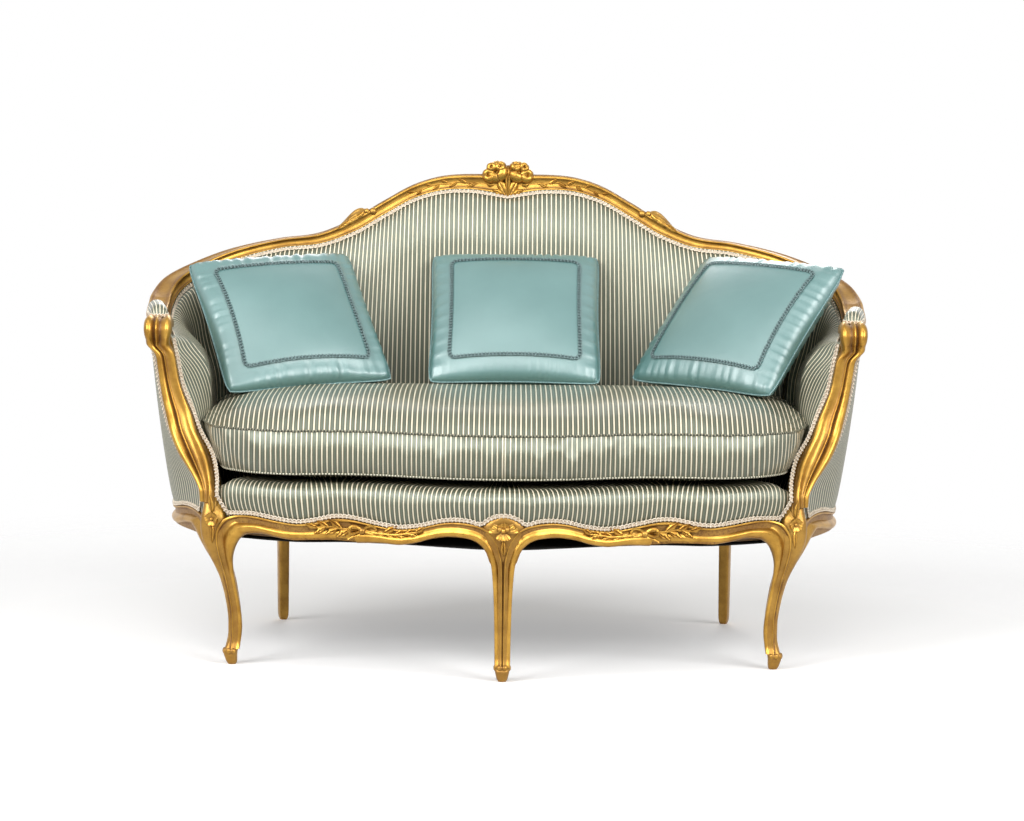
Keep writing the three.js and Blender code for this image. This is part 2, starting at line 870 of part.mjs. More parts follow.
function frontSeatRail(grow = 0) {
  return sweep(
    frontPlaces.slice(1),
    (place) => {
      const [upper, lower] = along(frontEdgeShares, place);
      const top = FRONT_RAIL_TOP + RAIL_WAVE * upper;
      return seatRailSection(top, FRONT_RAIL_BOTTOM + RAIL_WAVE * lower, grow);
    },
    frontPoint,
  );
}

function sideRailTop(place) {
  return SIDE_RAIL_TOP + RAIL_WAVE * along(sideEdgeShares, place)[0];
}

// Seat rail under the wall, with an upright face on the plan of the wall's foot.
function wallSeatRail(from, to, grow = 0) {
  return sweep(
    placesBetween(from, to),
    (place) => seatRailSection(sideRailTop(place), SIDE_RAIL_BOTTOM, grow),
    (place, inset, height) => wallPoint(place, inset, WALL_FOOT).setZ(height),
  );
}

// Tenon along a seat rail's centre line, half of its length on each side of the shoulder.
function railTenon(pointAt, place, length, grow) {
  const centre = RAIL_LIP - SEAT_RAIL_PROUD + (SEAT_RAIL_DEPTH - RAIL_LIP) / 2;
  const before = pointAt(place - planStepShare, centre, WALL_FOOT);
  const after = pointAt(place + planStepShare, centre, WALL_FOOT);
  const middle = pointAt(place, centre, WALL_FOOT);
  const tenon = block(
    2 * (length + grow),
    RAIL_TENON_WIDTH + 2 * grow,
    RAIL_TENON_HEIGHT + 2 * grow,
    0,
    0,
    RAIL_TENON_RISE,
  );
  const angle = Math.atan2(after.y - before.y, after.x - before.x);
  return tenon.rotateZ(angle).translate(middle.x, middle.y, 0);
}

// Hidden rails and blocks

function tackRail(from, to) {
  const inner = PAD_INSET - JOINT_GAP;
  const outer = inner - TACK_RAIL_DEPTH;
  const top = DECK_TOP + PAD_GAP;
  const section = [
    new THREE.Vector2(outer, TACK_RAIL_FOOT),
    new THREE.Vector2(inner, TACK_RAIL_FOOT),
    new THREE.Vector2(inner, top),
    new THREE.Vector2(outer, top),
  ];
  return sweep(placesBetween(from, to), () => section, wallPoint);
}

// Glue block behind the seat rails: its back follows the rails, its inner face is straight.
function glueBlock(points) {
  const outline = new THREE.Shape(points.map((point) => new THREE.Vector2(point.x, point.y)));
  const shape = new THREE.ExtrudeGeometry(outline, { depth: BLOCK_HEIGHT, bevelEnabled: false });
  return join(shape.translate(0, 0, REBATE_HEIGHT - BLOCK_HEIGHT));
}

const blockInset = SEAT_RAIL_DEPTH - SEAT_RAIL_PROUD + JOINT_GAP;
const frontBlockStartPlace = 0.8;
const frontBlockEndPlace = 1.7;
const rearBlockStartPlace = 0.3;
const rearBlockEndPlace = 0.6;
const outlineEndPlace = 1.9;
const tackRailEndPlace = 1.85;

function frontGlueBlock() {
  const front = frontPlaces
    .filter((place) => place > frontBlockStartPlace)
    .map((place) => frontPoint(place, blockInset, 0));
  const side = placesBetween(frontBlockEndPlace, outlineEndPlace)
    .reverse()
    .map((place) => wallPoint(place, blockInset, WALL_FOOT));
  return glueBlock([...front, ...side]);
}

function rearGlueBlock() {
  const back = placesBetween(rearBlockStartPlace, rearBlockEndPlace);
  return glueBlock(back.map((place) => wallPoint(place, blockInset, WALL_FOOT)));
}

// Upholstery on the wall

const cushionFrontPlace = 1.72;

// Layer on the wall up to the top rail; its foot is a function of the place, and its thickness a
// function of the shares of its length and height.
function wallLayer(from, to, footAt, inset, thickness) {
  return sweep(
    placesBetween(from, to),
    (place) => {
      const foot = footAt(place);
      const levels = wallLevels(place, foot);
      const across = (place - from) / (to - from);
      const high = levels.at(-1);
      const outside = levels.map((level) => new THREE.Vector2(inset, level));
      const inside = levels.map((level) => {
        return new THREE.Vector2(inset + thickness(across, (level - foot) / (high - foot)), level);
      });
      return [...outside, ...inside.reverse()];
    },
    wallPoint,
    ladderCap,
  );
}

const padRoundShare = 0.35;

// Thickness of a stuffed pad: full in the middle, drawn in along its ends and top.
function padThickness(full, firstEdge, lastEdge) {
  return (across, up) => {
    const first = firstEdge ? Math.min(1, across / padRoundShare) : 1;
    const last = lastEdge ? Math.min(1, (1 - across) / padRoundShare) : 1;
    const high = Math.min(1, (1 - up) / padRoundShare);
    const round = [first, last, high].reduce((all, share) => all * Math.sin((share * Math.PI) / 2), 1);
    return lerp(PAD_EDGE, full, Math.sqrt(Math.max(0, round)));
  };
}

// The seat

// Outline of the seat inside its rails, from the front middle round the right side to the back middle.
function seatOutline(frontInset, wallInset, height) {
  const front = frontPlaces.map((place) => frontPoint(place, frontInset, 0));
  const side = placesBetween(0, outlineEndPlace)
    .reverse()
    .map((place) => wallPoint(place, wallInset, Math.max(height, WALL_FOOT)));
  const half = [...front, ...side].map((point) => new THREE.Vector2(point.x, point.y));
  const other = half
    .slice(1, -1)
    .reverse()
    .map((point) => new THREE.Vector2(-point.x, point.y));
  return [...half, ...other];
}

// Stack of seat outlines; each layer has an inset at the front, one at the wall and a height.
function seatStack(layers) {
  const outlines = layers.map(([front, wall, height]) => seatOutline(front, wall, height));
  const rings = layers.map(([, , height], index) => {
    return outlines[index].map((point) => new THREE.Vector3(point.x, point.y, height));
  });
  return loft(rings, outlines[0], outlines.at(-1));
}

// Stuffed platform under the cushion, with a roll over the front rail.
function seatDeck() {
  const foot = REBATE_HEIGHT + WEBBING + 2 * PAD_GAP;
  const height = DECK_TOP - foot;
  const wall = PAD_INSET + DECK_GAP;
  return seatStack(
    deckShares.map(([out, up]) => {
      return [DECK_INSET - DECK_ROLL * out, wall - DECK_ROLL * Math.min(out, 0), foot + height * up];
    }),
  );
}

// Lattice of crossing straps, tacked all round on the rebate of the seat rails.
function seatWebbing() {
  const rim = RAIL_LIP - SEAT_RAIL_PROUD + PAD_GAP;
  const outline = new THREE.Shape(seatOutline(rim, rim, REBATE_HEIGHT));
  const sheet = new THREE.ExtrudeGeometry(outline, { depth: WEBBING, bevelEnabled: false });
  sheet.translate(0, 0, REBATE_HEIGHT + PAD_GAP);
  const pitch = STRAP_WIDTH + STRAP_SPACE;
  const frontY = FRONT_CORNER_Y - FRONT_BOW;
  const depth = SEAT_BACK_Y - frontY;
  const middleY = (SEAT_BACK_Y + frontY) / 2;
  const columns = Math.floor((SEAT_HALF_WIDTH - STRAP_WIDTH) / pitch);
  const rows = Math.floor((depth / 2 - STRAP_WIDTH) / pitch);
  const tall = 4 * WEBBING;
  const straps = [];
  for (let column = -columns; column <= columns; column += 1) {
    straps.push(block(STRAP_WIDTH, depth, tall, column * pitch, middleY, REBATE_HEIGHT));
  }
  for (let row = -rows; row <= rows; row += 1) {
    const y = middleY + row * pitch;
    straps.push(block(2 * SEAT_HALF_WIDTH, STRAP_WIDTH, tall, 0, y, REBATE_HEIGHT));
  }
  return meet(sheet, join(...straps));
}

// Thin cloth tacked inside the foot of the rails.
function dustCover() {
  return seatStack([
    [blockInset, blockInset, SIDE_RAIL_BOTTOM],
    [blockInset, blockInset, SIDE_RAIL_BOTTOM + DUST_COVER],
  ]);
}

const manchetteStartPlace = 1.42;
const manchetteEndPlace = 1.9;
const manchetteDropShare = 0.9; // how far its ends sink, of their squared height
const manchetteWaistShare = 0.7;

function manchette() {
  return sweep(
    steps(manchetteStartPlace, manchetteEndPlace, 10),
    (place) => {
      const middle = TOP_RAIL_DEPTH / 2 - TOP_RAIL_PROUD;
      const length = manchetteEndPlace - manchetteStartPlace;
      const end = Math.abs((2 * (place - manchetteStartPlace)) / length - 1);
      const swell = Math.sqrt(1 - manchetteDropShare * Math.pow(end, 6));
      const half = (MANCHETTE_WIDTH / 2) * lerp(manchetteWaistShare, 1, swell);
      return steps(0, Math.PI, 8).map((angle) => {
        return new THREE.Vector2(
          middle - half * Math.cos(angle),
          railTop(place) + JOINT_GAP + MANCHETTE_HEIGHT * Math.sin(angle) * swell,
        );
      });
    },
    wallPoint,
  );
}

// Loose cushion: a boxed edge between two pipings, a flat underside and a crowned top.
// Its front is serpentine; its sides and back follow the pads on the wall.
function seatCushion() {
  const foot = DECK_TOP + REST_GAP;
  const lower = foot + CUSHION_BELLY;
  const upper = lower + CUSHION_BAND;
  const inset = PAD_INSET + ARM_PAD + CUSHION_CLEARANCE;
  const swell = CUSHION_FLARE + CUSHION_BULGE;
  const backInset = PAD_INSET + BACK_PAD + CUSHION_CLEARANCE + swell;
  const side = steps(cushionFrontPlace, 0, 16).map((place) => {
    const part = clamp(place / seamPlace, 0, 1);
    return wallPoint(place, lerp(backInset, inset, part), lower);
  });
  const support = supportAt(lower);
  const halfWidth = support.x - support.halfWidth - CUSHION_CLEARANCE;
  const front = cushionFrontShares.map(([across, bow]) => {
    return new THREE.Vector3(across * halfWidth, CUSHION_CORNER_Y - CUSHION_BOW * bow, lower);
  });
  const half = [...front, ...side];
  const other = half
    .slice(1, -1)
    .reverse()
    .map((point) => new THREE.Vector3(-point.x, point.y, lower));
  const curve = new THREE.CatmullRomCurve3([...half, ...other], true);
  const plan = curve.getSpacedPoints(56).slice(0, -1);
  const backY = side.at(-1).y;
  const frontY = CUSHION_CORNER_Y - CUSHION_BOW;
  const middleY = (frontY + backY) / 2;
  const halfDepth = (backY - frontY) / 2;
  const ring = (inwards, height) => {
    return plan.map((point) => {
      const x = point.x * (1 - inwards / halfWidth);
      const y = middleY + (point.y - middleY) * (1 - inwards / halfDepth);
      return new THREE.Vector3(x, y, height);
    });
  };
  const rings = [
    ...bellyShares.map(([inwards, rise]) => ring(halfDepth * inwards, foot + CUSHION_BELLY * rise)),
    ...bandShares.map(([flare, bulge, rise]) => {
      return ring(-CUSHION_FLARE * flare - CUSHION_BULGE * bulge, lower + CUSHION_BAND * rise);
    }),
    ...crownShares.map(([inwards, rise]) => ring(halfDepth * inwards, upper + CUSHION_CROWN * rise)),
  ];
  const outline = plan.map((point) => new THREE.Vector2(point.x, point.y));
  return loft(rings, outline, outline);
}

const pillowRoundShare = 0.42; // how full a pillow is towards its edge
const pillowRingShares = [0.14, 0.42, 0.68, 0.87, 0.97];

// Pillow in its own frame: width along X, height along Z, the front towards -Y.
function pillow() {
  const half = PILLOW_SIDE / 2;
  const around = [];
  for (let side = 0; side < 4; side += 1) {
    const angle = (-side * Math.PI) / 2;
    for (const run of steps(-1, 1, 6).slice(0, -1)) {
      around.push([
        run * Math.cos(angle) - Math.sin(angle),
        run * Math.sin(angle) + Math.cos(angle),
      ]);
    }
  }
  const ringAt = (share, face) => {
    return around.map(([a, b]) => {
      const drawnA = a * (1 - sideDrawShare * (1 - b * b));
      const drawnB = b * (1 - sideDrawShare * (1 - a * a));
      const round = (1 - a * a * share * share) * (1 - b * b * share * share);
      const bulge = (PILLOW_THICKNESS / 2) * Math.pow(Math.max(0, round), pillowRoundShare);
      return new THREE.Vector3(drawnA * half * share, face * bulge, drawnB * half * share);
    });
  };
  const rings = [
    ...pillowRingShares.map((share) => ringAt(share, -1)),
    ringAt(1, 0),
    ...[...pillowRingShares].reverse().map((share) => ringAt(share, 1)),
  ];
  const outline = around.map(([a, b]) => new THREE.Vector2(a, b));
  return loft(rings, outline, outline);
}

// Corners of a geometry and spots along its edges.
function spotsOn(geometry) {
  const places = geometry.attributes.position;
  const order = geometry.index.array;
  const corner = (index) => new THREE.Vector3().fromBufferAttribute(places, order[index]);
  const spots = [];
  for (let face = 0; face < order.length; face += 3) {
    for (let side = 0; side < 3; side += 1) {
      const from = corner(face + side);
      const to = corner(face + ((side + 1) % 3));
      spots.push(from, from.clone().lerp(to, 0.25), from.clone().lerp(to, 0.5));
    }
  }
  return spots;
}

// Smallest upright distance from a piece down to what lies under it.
function dropTo(piece, support) {
  const upper = new THREE.Mesh(piece, new THREE.MeshBasicMaterial({ side: THREE.DoubleSide }));
  const lower = new THREE.Mesh(support, new THREE.MeshBasicMaterial({ side: THREE.DoubleSide }));
  const caster = new THREE.Raycaster();
  const down = new THREE.Vector3(0, 0, -1);
  let least = Infinity;
  const cast = (from, target, direction) => {
    for (const origin of spotsOn(from.geometry)) {
      caster.set(origin, direction);
      for (const hit of caster.intersectObject(target)) least = Math.min(least, hit.distance);
    }
  };
  cast(upper, lower, down);
  cast(lower, upper, down.clone().negate());
  return least;
}

const pillowLean = 45; // degrees back from upright

// Pillow places, turn about the upright axis and roll in its own plane, both in degrees
const pillowPoses = {
  left_pillow: {
    x: LEFT_PILLOW_FROM_ARM - TOP_HALF_WIDTH,
    y: TOP_BACK_Y - LEFT_PILLOW_FROM_BACK,
    turn: 19,
    roll: -3,
  },
  centre_pillow: {
    x: CENTRE_PILLOW_OFFSET,
    y: TOP_BACK_Y - CENTRE_PILLOW_FROM_BACK,
    turn: 0,
    roll: 0,
  },
  right_pillow: {
    x: TOP_HALF_WIDTH - RIGHT_PILLOW_FROM_ARM,
    y: TOP_BACK_Y - RIGHT_PILLOW_FROM_BACK,
    turn: -38,
    roll: 3,
  },
};

function posedPillow({ x, y, turn, roll }) {
  const geometry = pillow();
  geometry.rotateY(THREE.MathUtils.degToRad(roll));
  geometry.rotateX(THREE.MathUtils.degToRad(-pillowLean));
  geometry.rotateZ(THREE.MathUtils.degToRad(turn));
  return geometry.translate(x, y, CREST_HEIGHT);
}

function settled(piece, support) {
  return piece.translate(0, 0, REST_GAP - dropTo(piece, support));
}

// Assembly

const gilt = { color: 0xb98a34, roughness: 0.35, metalness: 0.75 };
const stripe = { color: 0x9fae98, roughness: 0.5, metalness: 0 };
const satin = { color: 0x7fa6a5, roughness: 0.35, metalness: 0 };
const beech = { color: 0xa98258, roughness: 0.7, metalness: 0 };
const jute = { color: 0xa58f66, roughness: 0.95, metalness: 0 };
const blackCloth = { color: 0x1d1c1b, roughness: 0.95, metalness: 0 };

const settee = new THREE.Group();

function keep(name, geometry, finish) {
  const mesh = new THREE.Mesh(geometry, new THREE.MeshStandardMaterial(finish));
  mesh.name = name;
  settee.add(mesh);
}

function keepPair(name, geometry, finish) {
  keep(name.replace("SIDE", "right"), geometry, finish);
  keep(name.replace("SIDE", "left"), mirrored(geometry), finish);
}

const seatLine = (place, inset) => wallPoint(place, inset, WALL_FOOT);
const cornerTenonPlace = 0.955;
const centreTenonPlace = 0.07;
const sideTenonPlace = 1.93;
const tenons = (grow) => ({
  support: supportTenon(grow),
  frontAtCorner: railTenon(frontPoint, cornerTenonPlace, RAIL_TENON_LENGTH, grow),
  frontAtCentre: railTenon(frontPoint, centreTenonPlace, RAIL_TENON_LENGTH, grow),
  sideAtFront: railTenon(seatLine, sideTenonPlace, RAIL_TENON_LENGTH, grow),
  sideAtRear: railTenon(seatLine, stilePlace + stileEdgeShare, STILE_TENON_LENGTH, grow),
  rearAtStile: railTenon(seatLine, stilePlace - stileEdgeShare, STILE_TENON_LENGTH, grow),
});
const tenon = tenons(0);
const mortise = tenons(JOINT_GAP);

const armGrown = armRail(JOINT_GAP);
const scrollGrown = armScroll(JOINT_GAP);
const supportGrown = armSupport(JOINT_GAP);
const legGrown = cornerLeg(JOINT_GAP);
const centreLegGrown = centreLeg(JOINT_GAP);
const rearGrown = rearLeg(JOINT_GAP);
const bothSides = (...pieces) => [...pieces, ...pieces.map(mirrored)];

keep("crest_rail", crestRail(), gilt);
keepPair("SIDE_arm_rail", armRail(), gilt);
keepPair("SIDE_arm_support", cut(armSupport(), armGrown), gilt);
const cornerMortises = [mortise.support, mortise.frontAtCorner, mortise.sideAtFront];
keepPair("front_SIDE_leg", cut(cornerLeg(), ...cornerMortises), gilt);
keep("front_centre_leg", cut(centreLeg(), ...bothSides(mortise.frontAtCentre)), gilt);
keepPair("rear_SIDE_leg", cut(rearLeg(), armGrown, mortise.sideAtRear, mortise.rearAtStile), gilt);
const frontRail = cut(frontSeatRail(), legGrown, centreLegGrown);
keepPair("front_SIDE_seat_rail", join(frontRail, tenon.frontAtCorner, tenon.frontAtCentre), gilt);
const sideRail = cut(wallSeatRail(stilePlace, 2), legGrown, rearGrown);
keepPair("SIDE_seat_rail", join(sideRail, tenon.sideAtFront, tenon.sideAtRear), gilt);
const rearRail = cut(wallSeatRail(-stilePlace, stilePlace), ...bothSides(rearGrown));
keep("rear_seat_rail", join(rearRail, ...bothSides(tenon.rearAtStile)), gilt);
keepPair("front_SIDE_glue_block", cut(frontGlueBlock(), legGrown), beech);
keepPair("rear_SIDE_glue_block", rearGlueBlock(), beech);

const backEdgePlace = stilePlace - stileEdgeShare;
const armEdgePlace = stilePlace + stileEdgeShare;
keep("lower_back_rail", tackRail(-backEdgePlace, backEdgePlace), beech);
keepPair("SIDE_tack_rail", tackRail(armEdgePlace, tackRailEndPlace), beech);
keep("seat_webbing", cut(seatWebbing(), ...bothSides(legGrown, rearGrown), centreLegGrown), jute);
keep("seat_deck", cut(seatDeck(), ...bothSides(legGrown, supportGrown), centreLegGrown), stripe);

const evenly = (size) => () => size;
const padFoot = evenly(DECK_TOP + PAD_GAP);
const panelFoot = (place) => sideRailTop(place) + JOINT_GAP;
const armPadStart = seamPlace + 4 * jointGapShare;
const backPad = wallLayer(
  -seamPlace,
  seamPlace,
  padFoot,
  PAD_INSET,
  padThickness(BACK_PAD, true, true),
);
keep("inside_back", backPad, stripe);
const armPad = wallLayer(
  armPadStart,
  frontEdgePlace,
  padFoot,
  PAD_INSET,
  padThickness(ARM_PAD, true, true),
);
keepPair("SIDE_inside_arm", cut(armPad, scrollGrown, supportGrown), stripe);
const backPanel = wallLayer(-backEdgePlace, backEdgePlace, panelFoot, PANEL_INSET, evenly(PANEL));
keep("outside_back", backPanel, stripe);
const armPanel = wallLayer(armEdgePlace, frontEdgePlace, panelFoot, PANEL_INSET, evenly(PANEL));
keepPair("SIDE_outside_arm", cut(armPanel, scrollGrown, supportGrown, legGrown), stripe);
keepPair("SIDE_manchette", manchette(), stripe);
keep("dust_cover", cut(dustCover(), ...bothSides(legGrown), centreLegGrown), blackCloth);

const cushion = seatCushion();
keep("seat_cushion", cushion, stripe);
for (const [name, pose] of Object.entries(pillowPoses)) {
  keep(name, settled(posedPillow(pose), cushion), satin);
}

const overall = new THREE.Box3().setFromObject(settee);
settee.position.y = -(overall.min.y + overall.max.y) / 2;

export default settee;
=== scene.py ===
"""Looks of a giltwood settee in the corbeille form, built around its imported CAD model.

Metres, +Z up, the front towards -Y. The right half (+X) is worked out first and mirrored.
"""

import math
import random

import bmesh
import bpy
import numpy as np
from mathutils import Matrix, Vector

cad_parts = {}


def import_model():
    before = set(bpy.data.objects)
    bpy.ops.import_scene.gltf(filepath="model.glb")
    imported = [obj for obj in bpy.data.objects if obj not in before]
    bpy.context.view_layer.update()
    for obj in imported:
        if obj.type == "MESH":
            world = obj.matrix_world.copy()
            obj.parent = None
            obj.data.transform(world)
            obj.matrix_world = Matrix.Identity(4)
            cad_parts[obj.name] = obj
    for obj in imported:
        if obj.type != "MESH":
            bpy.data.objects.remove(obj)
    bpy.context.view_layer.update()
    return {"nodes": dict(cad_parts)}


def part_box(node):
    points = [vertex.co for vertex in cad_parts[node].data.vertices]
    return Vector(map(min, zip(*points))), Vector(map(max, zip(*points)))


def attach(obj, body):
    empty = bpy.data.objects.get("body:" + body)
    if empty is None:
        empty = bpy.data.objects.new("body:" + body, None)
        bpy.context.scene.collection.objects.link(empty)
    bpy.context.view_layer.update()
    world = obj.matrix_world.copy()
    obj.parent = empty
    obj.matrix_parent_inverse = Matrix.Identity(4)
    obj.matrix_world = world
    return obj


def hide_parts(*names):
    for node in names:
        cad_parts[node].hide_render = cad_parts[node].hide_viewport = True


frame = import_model()

CENTRE_KNEE_FRONT = -0.470  # front of the centre leg before the part is centred in depth
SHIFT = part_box("front_centre_leg")[0].y - CENTRE_KNEE_FRONT

# The wall of the back and arms, on its outer face
TOP_HALF_WIDTH = 0.725
TOP_WIDEST_Y = 0.060
TOP_BACK_Y = 0.335
SEAT_HALF_WIDTH = 0.668
SEAT_WIDEST_Y = 0.010
SEAT_BACK_Y = 0.268
WALL_FOOT = 0.290
ARM_HEIGHT = 0.668
CREST_HEIGHT = 0.951
CORNER_SHARE = 0.664
ARM_BEND_SHARE = 0.45
FLARE_SHARE = 0.75

# Rails, supports and legs
TOP_RAIL_HEIGHT = 0.030
TOP_RAIL_DEPTH = 0.042
TOP_RAIL_PROUD = 0.002
SUPPORT_FOOT = Vector((0.564, -0.300, 0.316))
SUPPORT_TOP = Vector((0.676, -0.206, 0.652))
SUPPORT_HALF_WIDTH = 0.022
SUPPORT_HALF_DEPTH = 0.019
SUPPORT_REBATE = 0.008
CORNER_FOOT = Vector((0.522, -0.258, 0))
CORNER_KNEE_OUT = 0.052
CORNER_LEG_HEIGHT = 0.316
CENTRE_LEG_HEIGHT = 0.314
CENTRE_FOOT_Y = -0.419
CENTRE_KNEE_OUT = 0.024
CENTRE_HALF_DEPTH = 0.027
REAR_FOOT = Vector((0.470, 0.280, 0))
REAR_HALF_DEPTH = 0.014
STILE_INSET = 0.0145
STILE_PLACE = 0.455
STILE_HALF_SHARE = 0.0155
FRONT_HALF_WIDTH = 0.560
FRONT_CORNER_Y = -0.302
FRONT_BOW = 0.164
RAIL_WAVE = 0.012
SIDE_RAIL_TOP = 0.288
SIDE_RAIL_BOTTOM = 0.252
BAND_RISE = 0.003  # of the legs' bands over their cores
CREST_JOINT_PLACE = 0.39

# Upholstery
PANEL = 0.003
PANEL_INSET = 0.002
PAD_INSET = 0.030
BACK_PAD = 0.047
ARM_PAD = 0.036
ARM_FACE = 0.583
PAD_EDGE = 0.010
SEAM_PLACE = 0.64
DECK_TOP = 0.372
DECK_INSET = 0.0105
DECK_ROLL = 0.011
STRIPE_PITCH = 0.0098
GIMP_WIDTH = 0.0095
GIMP_PERIOD = 0.0080
GIMP_STRAND = 0.00115

# Seat cushion
REST_GAP = 0.0003
CUSHION_CORNER_Y = -0.262
CUSHION_BOW = 0.188
CUSHION_CLEARANCE = 0.006
CUSHION_BAND = 0.082
CUSHION_BELLY = 0.014
CUSHION_CROWN = 0.065
CUSHION_BULGE = 0.004
CUSHION_FLARE = 0.009
CUSHION_SPREAD = 0.024
CUSHION_FRONT_PLACE = 1.72
CUSHION_LOWER = DECK_TOP + REST_GAP + CUSHION_BELLY
PIPING_RADIUS = 0.0026

# Pillows: turn and roll in degrees, and how far each has settled
PILLOW_SIDE = 0.352
PILLOW_HALF = PILLOW_SIDE / 2
SHEET_HALF = PILLOW_HALF * 1.03
PILLOW_THICKNESS = 0.112
PILLOW_LEAN = 45
PILLOW_CELLS = 60
PILLOW_POSES = {"left_pillow": (19, -4.5, -0.006), "centre_pillow": (0, 0, 0), "right_pillow": (-38, 3, -0.002)}
BRAID_INSET = 0.042
BRAID_WIDTH = 0.010

# Place along the half wall (0 middle, 1 widest point, 2 arm support), share of the rise
RAIL_TOP_SHARES = [
    (0, 1), (0.09, 0.99), (0.145, 0.925), (0.2, 0.8), (0.26, 0.66), (0.33, 0.553), (0.42, 0.512),
    (0.55, 0.437), (0.7, 0.328), (0.85, 0.228), (0.96, 0.14), (1.1, 0.07), (1.4, 0.02), (2, 0),
]
RAIL_HEIGHT_SHARES = [
    (0, 1.47), (0.05, 1.12), (0.12, 1), (0.24, 0.95), (0.33, 0.74), (0.42, 0.64), (0.6, 0.74),
    (0.8, 0.9), (1, 1), (2, 0.92),
]
# Share of a support's height; shares of lean and backward sweep; half width and half depth
SUPPORT_SHARES = [
    (0, 0, 0, 0.68, 0.75), (0.1, 0.02, 0.1, 0.8, 0.85), (0.18, 0.12, 0.34, 1.15, 1),
    (0.28, 0.3, 0.66, 1.45, 1.05), (0.4, 0.52, 0.92, 1.25, 1), (0.54, 0.68, 1.06, 1.1, 0.95),
    (0.66, 0.79, 1.1, 0.9, 0.9), (0.81, 0.87, 1.08, 0.86, 0.85), (1, 1, 1, 0.95, 0.85),
]
# Share of a corner leg's height, share of the knee's reach
CORNER_LEG_SHARES = [
    (0, 0.12), (0.03, 0.16), (0.08, 0.2), (0.14, 0.05), (0.22, 0), (0.34, 0.03), (0.5, 0.24),
    (0.6, 0.49), (0.7, 0.76), (0.78, 0.93), (0.86, 1), (1, 0.98),
]
# Share of the centre leg's height, share of the knee's reach, half depth
CENTRE_LEG_SHARES = [
    (0, 0.1, 0.42), (0.03, 0.14, 0.56), (0.08, 0.16, 0.66), (0.15, 0.02, 0.6), (0.3, 0, 0.58),
    (0.49, 0.25, 0.64), (0.68, 0.72, 0.82), (0.77, 0.93, 0.95), (0.85, 1, 1), (0.92, 1, 1), (1, 1, 1),
]
# Plan of the seat front: share of the half width, share of the bow
FRONT_PLAN_SHARES = [
    (0, 1), (0.09, 0.975), (0.19, 0.85), (0.37, 0.6), (0.54, 0.46), (0.7, 0.49), (0.84, 0.31),
    (0.93, 0.13), (1, 0),
]
SIDE_EDGE_SHARES = [(0, 0), (0.4, 0), (1.3, 0), (1.62, 0.9), (1.85, 0.85), (2, -0.2)]
CUSHION_FRONT_SHARES = [
    (0, 1), (0.15, 0.965), (0.288, 0.84), (0.43, 0.68), (0.52, 0.635), (0.62, 0.63), (0.745, 0.67),
    (0.857, 0.55), (0.94, 0.33), (0.985, 0.12),
]
CROWN_SHARES = [(0, 0), (0.05, 0.27), (0.14, 0.57), (0.34, 0.83), (0.62, 0.96), (0.86, 1), (1, 1)]
# Upper edge of the front moulding, from the groove of the centre leg to the groove of the corner
# leg: half width and height in metres
FRONT_UPPER_EDGE = [
    (0.0010, 0.028), (0.0010, 0.09), (0.0010, 0.155), (0.0012, 0.225), (0.0045, 0.246),
    (0.0140, 0.272), (0.0280, 0.290), (0.0425, 0.2985), (0.066, 0.3035), (0.093, 0.3045),
    (0.121, 0.3005), (0.160, 0.2895), (0.201, 0.2845), (0.244, 0.2902), (0.294, 0.2996),
    (0.327, 0.3000), (0.360, 0.2935), (0.396, 0.2900), (0.439, 0.2948), (0.4825, 0.3005),
    (0.516, 0.2985), (0.5400, 0.2890), (0.5545, 0.2640), (0.5525, 0.2283), (0.5400, 0.1743),
    (0.5285, 0.1078), (0.5270, 0.060), (0.5280, 0.031),
]
# Lower edge of the same moulding, over the same run
FRONT_LOWER_EDGE = [
    (0.0155, 0.028), (0.0165, 0.09), (0.0178, 0.145), (0.0200, 0.190), (0.0235, 0.222),
    (0.0290, 0.2430), (0.0380, 0.2580), (0.0500, 0.2680), (0.0640, 0.2735), (0.084, 0.2757),
    (0.107, 0.2757), (0.135, 0.2703), (0.163, 0.2615), (0.195, 0.2560), (0.235, 0.2575),
    (0.283, 0.2562), (0.327, 0.2592), (0.3675, 0.2594), (0.4005, 0.2580), (0.435, 0.2627),
    (0.466, 0.2680), (0.492, 0.2655), (0.509, 0.2500), (0.5185, 0.2220), (0.5205, 0.1900),
    (0.5155, 0.1489), (0.5085, 0.1052), (0.5062, 0.071), (0.5105, 0.031),
]
# Half widths of the legs' cores by height, in metres
CORNER_CORE = [
    (0, 0.0095), (0.018, 0.0128), (0.026, 0.0135), (0.045, 0.0120), (0.07, 0.0125), (0.11, 0.0128),
    (0.15, 0.0135), (0.19, 0.0165), (0.225, 0.0215), (0.25, 0.0250), (0.285, 0.0258),
    (0.302, 0.0235), (0.316, 0.0185), (0.330, 0.0148), (0.342, 0.0135),
]
CENTRE_CORE = [
    (0, 0.0095), (0.018, 0.0135), (0.026, 0.0145), (0.05, 0.0130), (0.10, 0.0135), (0.15, 0.0150),
    (0.20, 0.0175), (0.225, 0.0205), (0.245, 0.027), (0.262, 0.034), (0.280, 0.040),
    (0.298, 0.0425), (0.305, 0.0375), (0.311, 0.028), (0.3150, 0.016), (0.3168, 0.004),
]
# Share across, height share and painted shade in the recesses of the front moulding, from its upper edge to its lower
RAIL_BAND = [
    (0.0, -0.32, 0.6), (0.0, -0.03, 0.9), (0.02, 0.045, 0.35), (0.07, 0.060, 0.0), (0.12, 0.050, 0.25),
    (0.145, -0.01, 1.0), (0.20, -0.040, 0.55), (0.30, -0.060, 0.3), (0.40, -0.035, 0.1),
    (0.52, 0.050, 0.0), (0.66, 0.115, 0.0), (0.80, 0.108, 0.0), (0.91, 0.045, 0.05),
    (0.98, -0.05, 0.4), (1.0, -0.13, 0.7), (0.98, -0.32, 0.8),
]
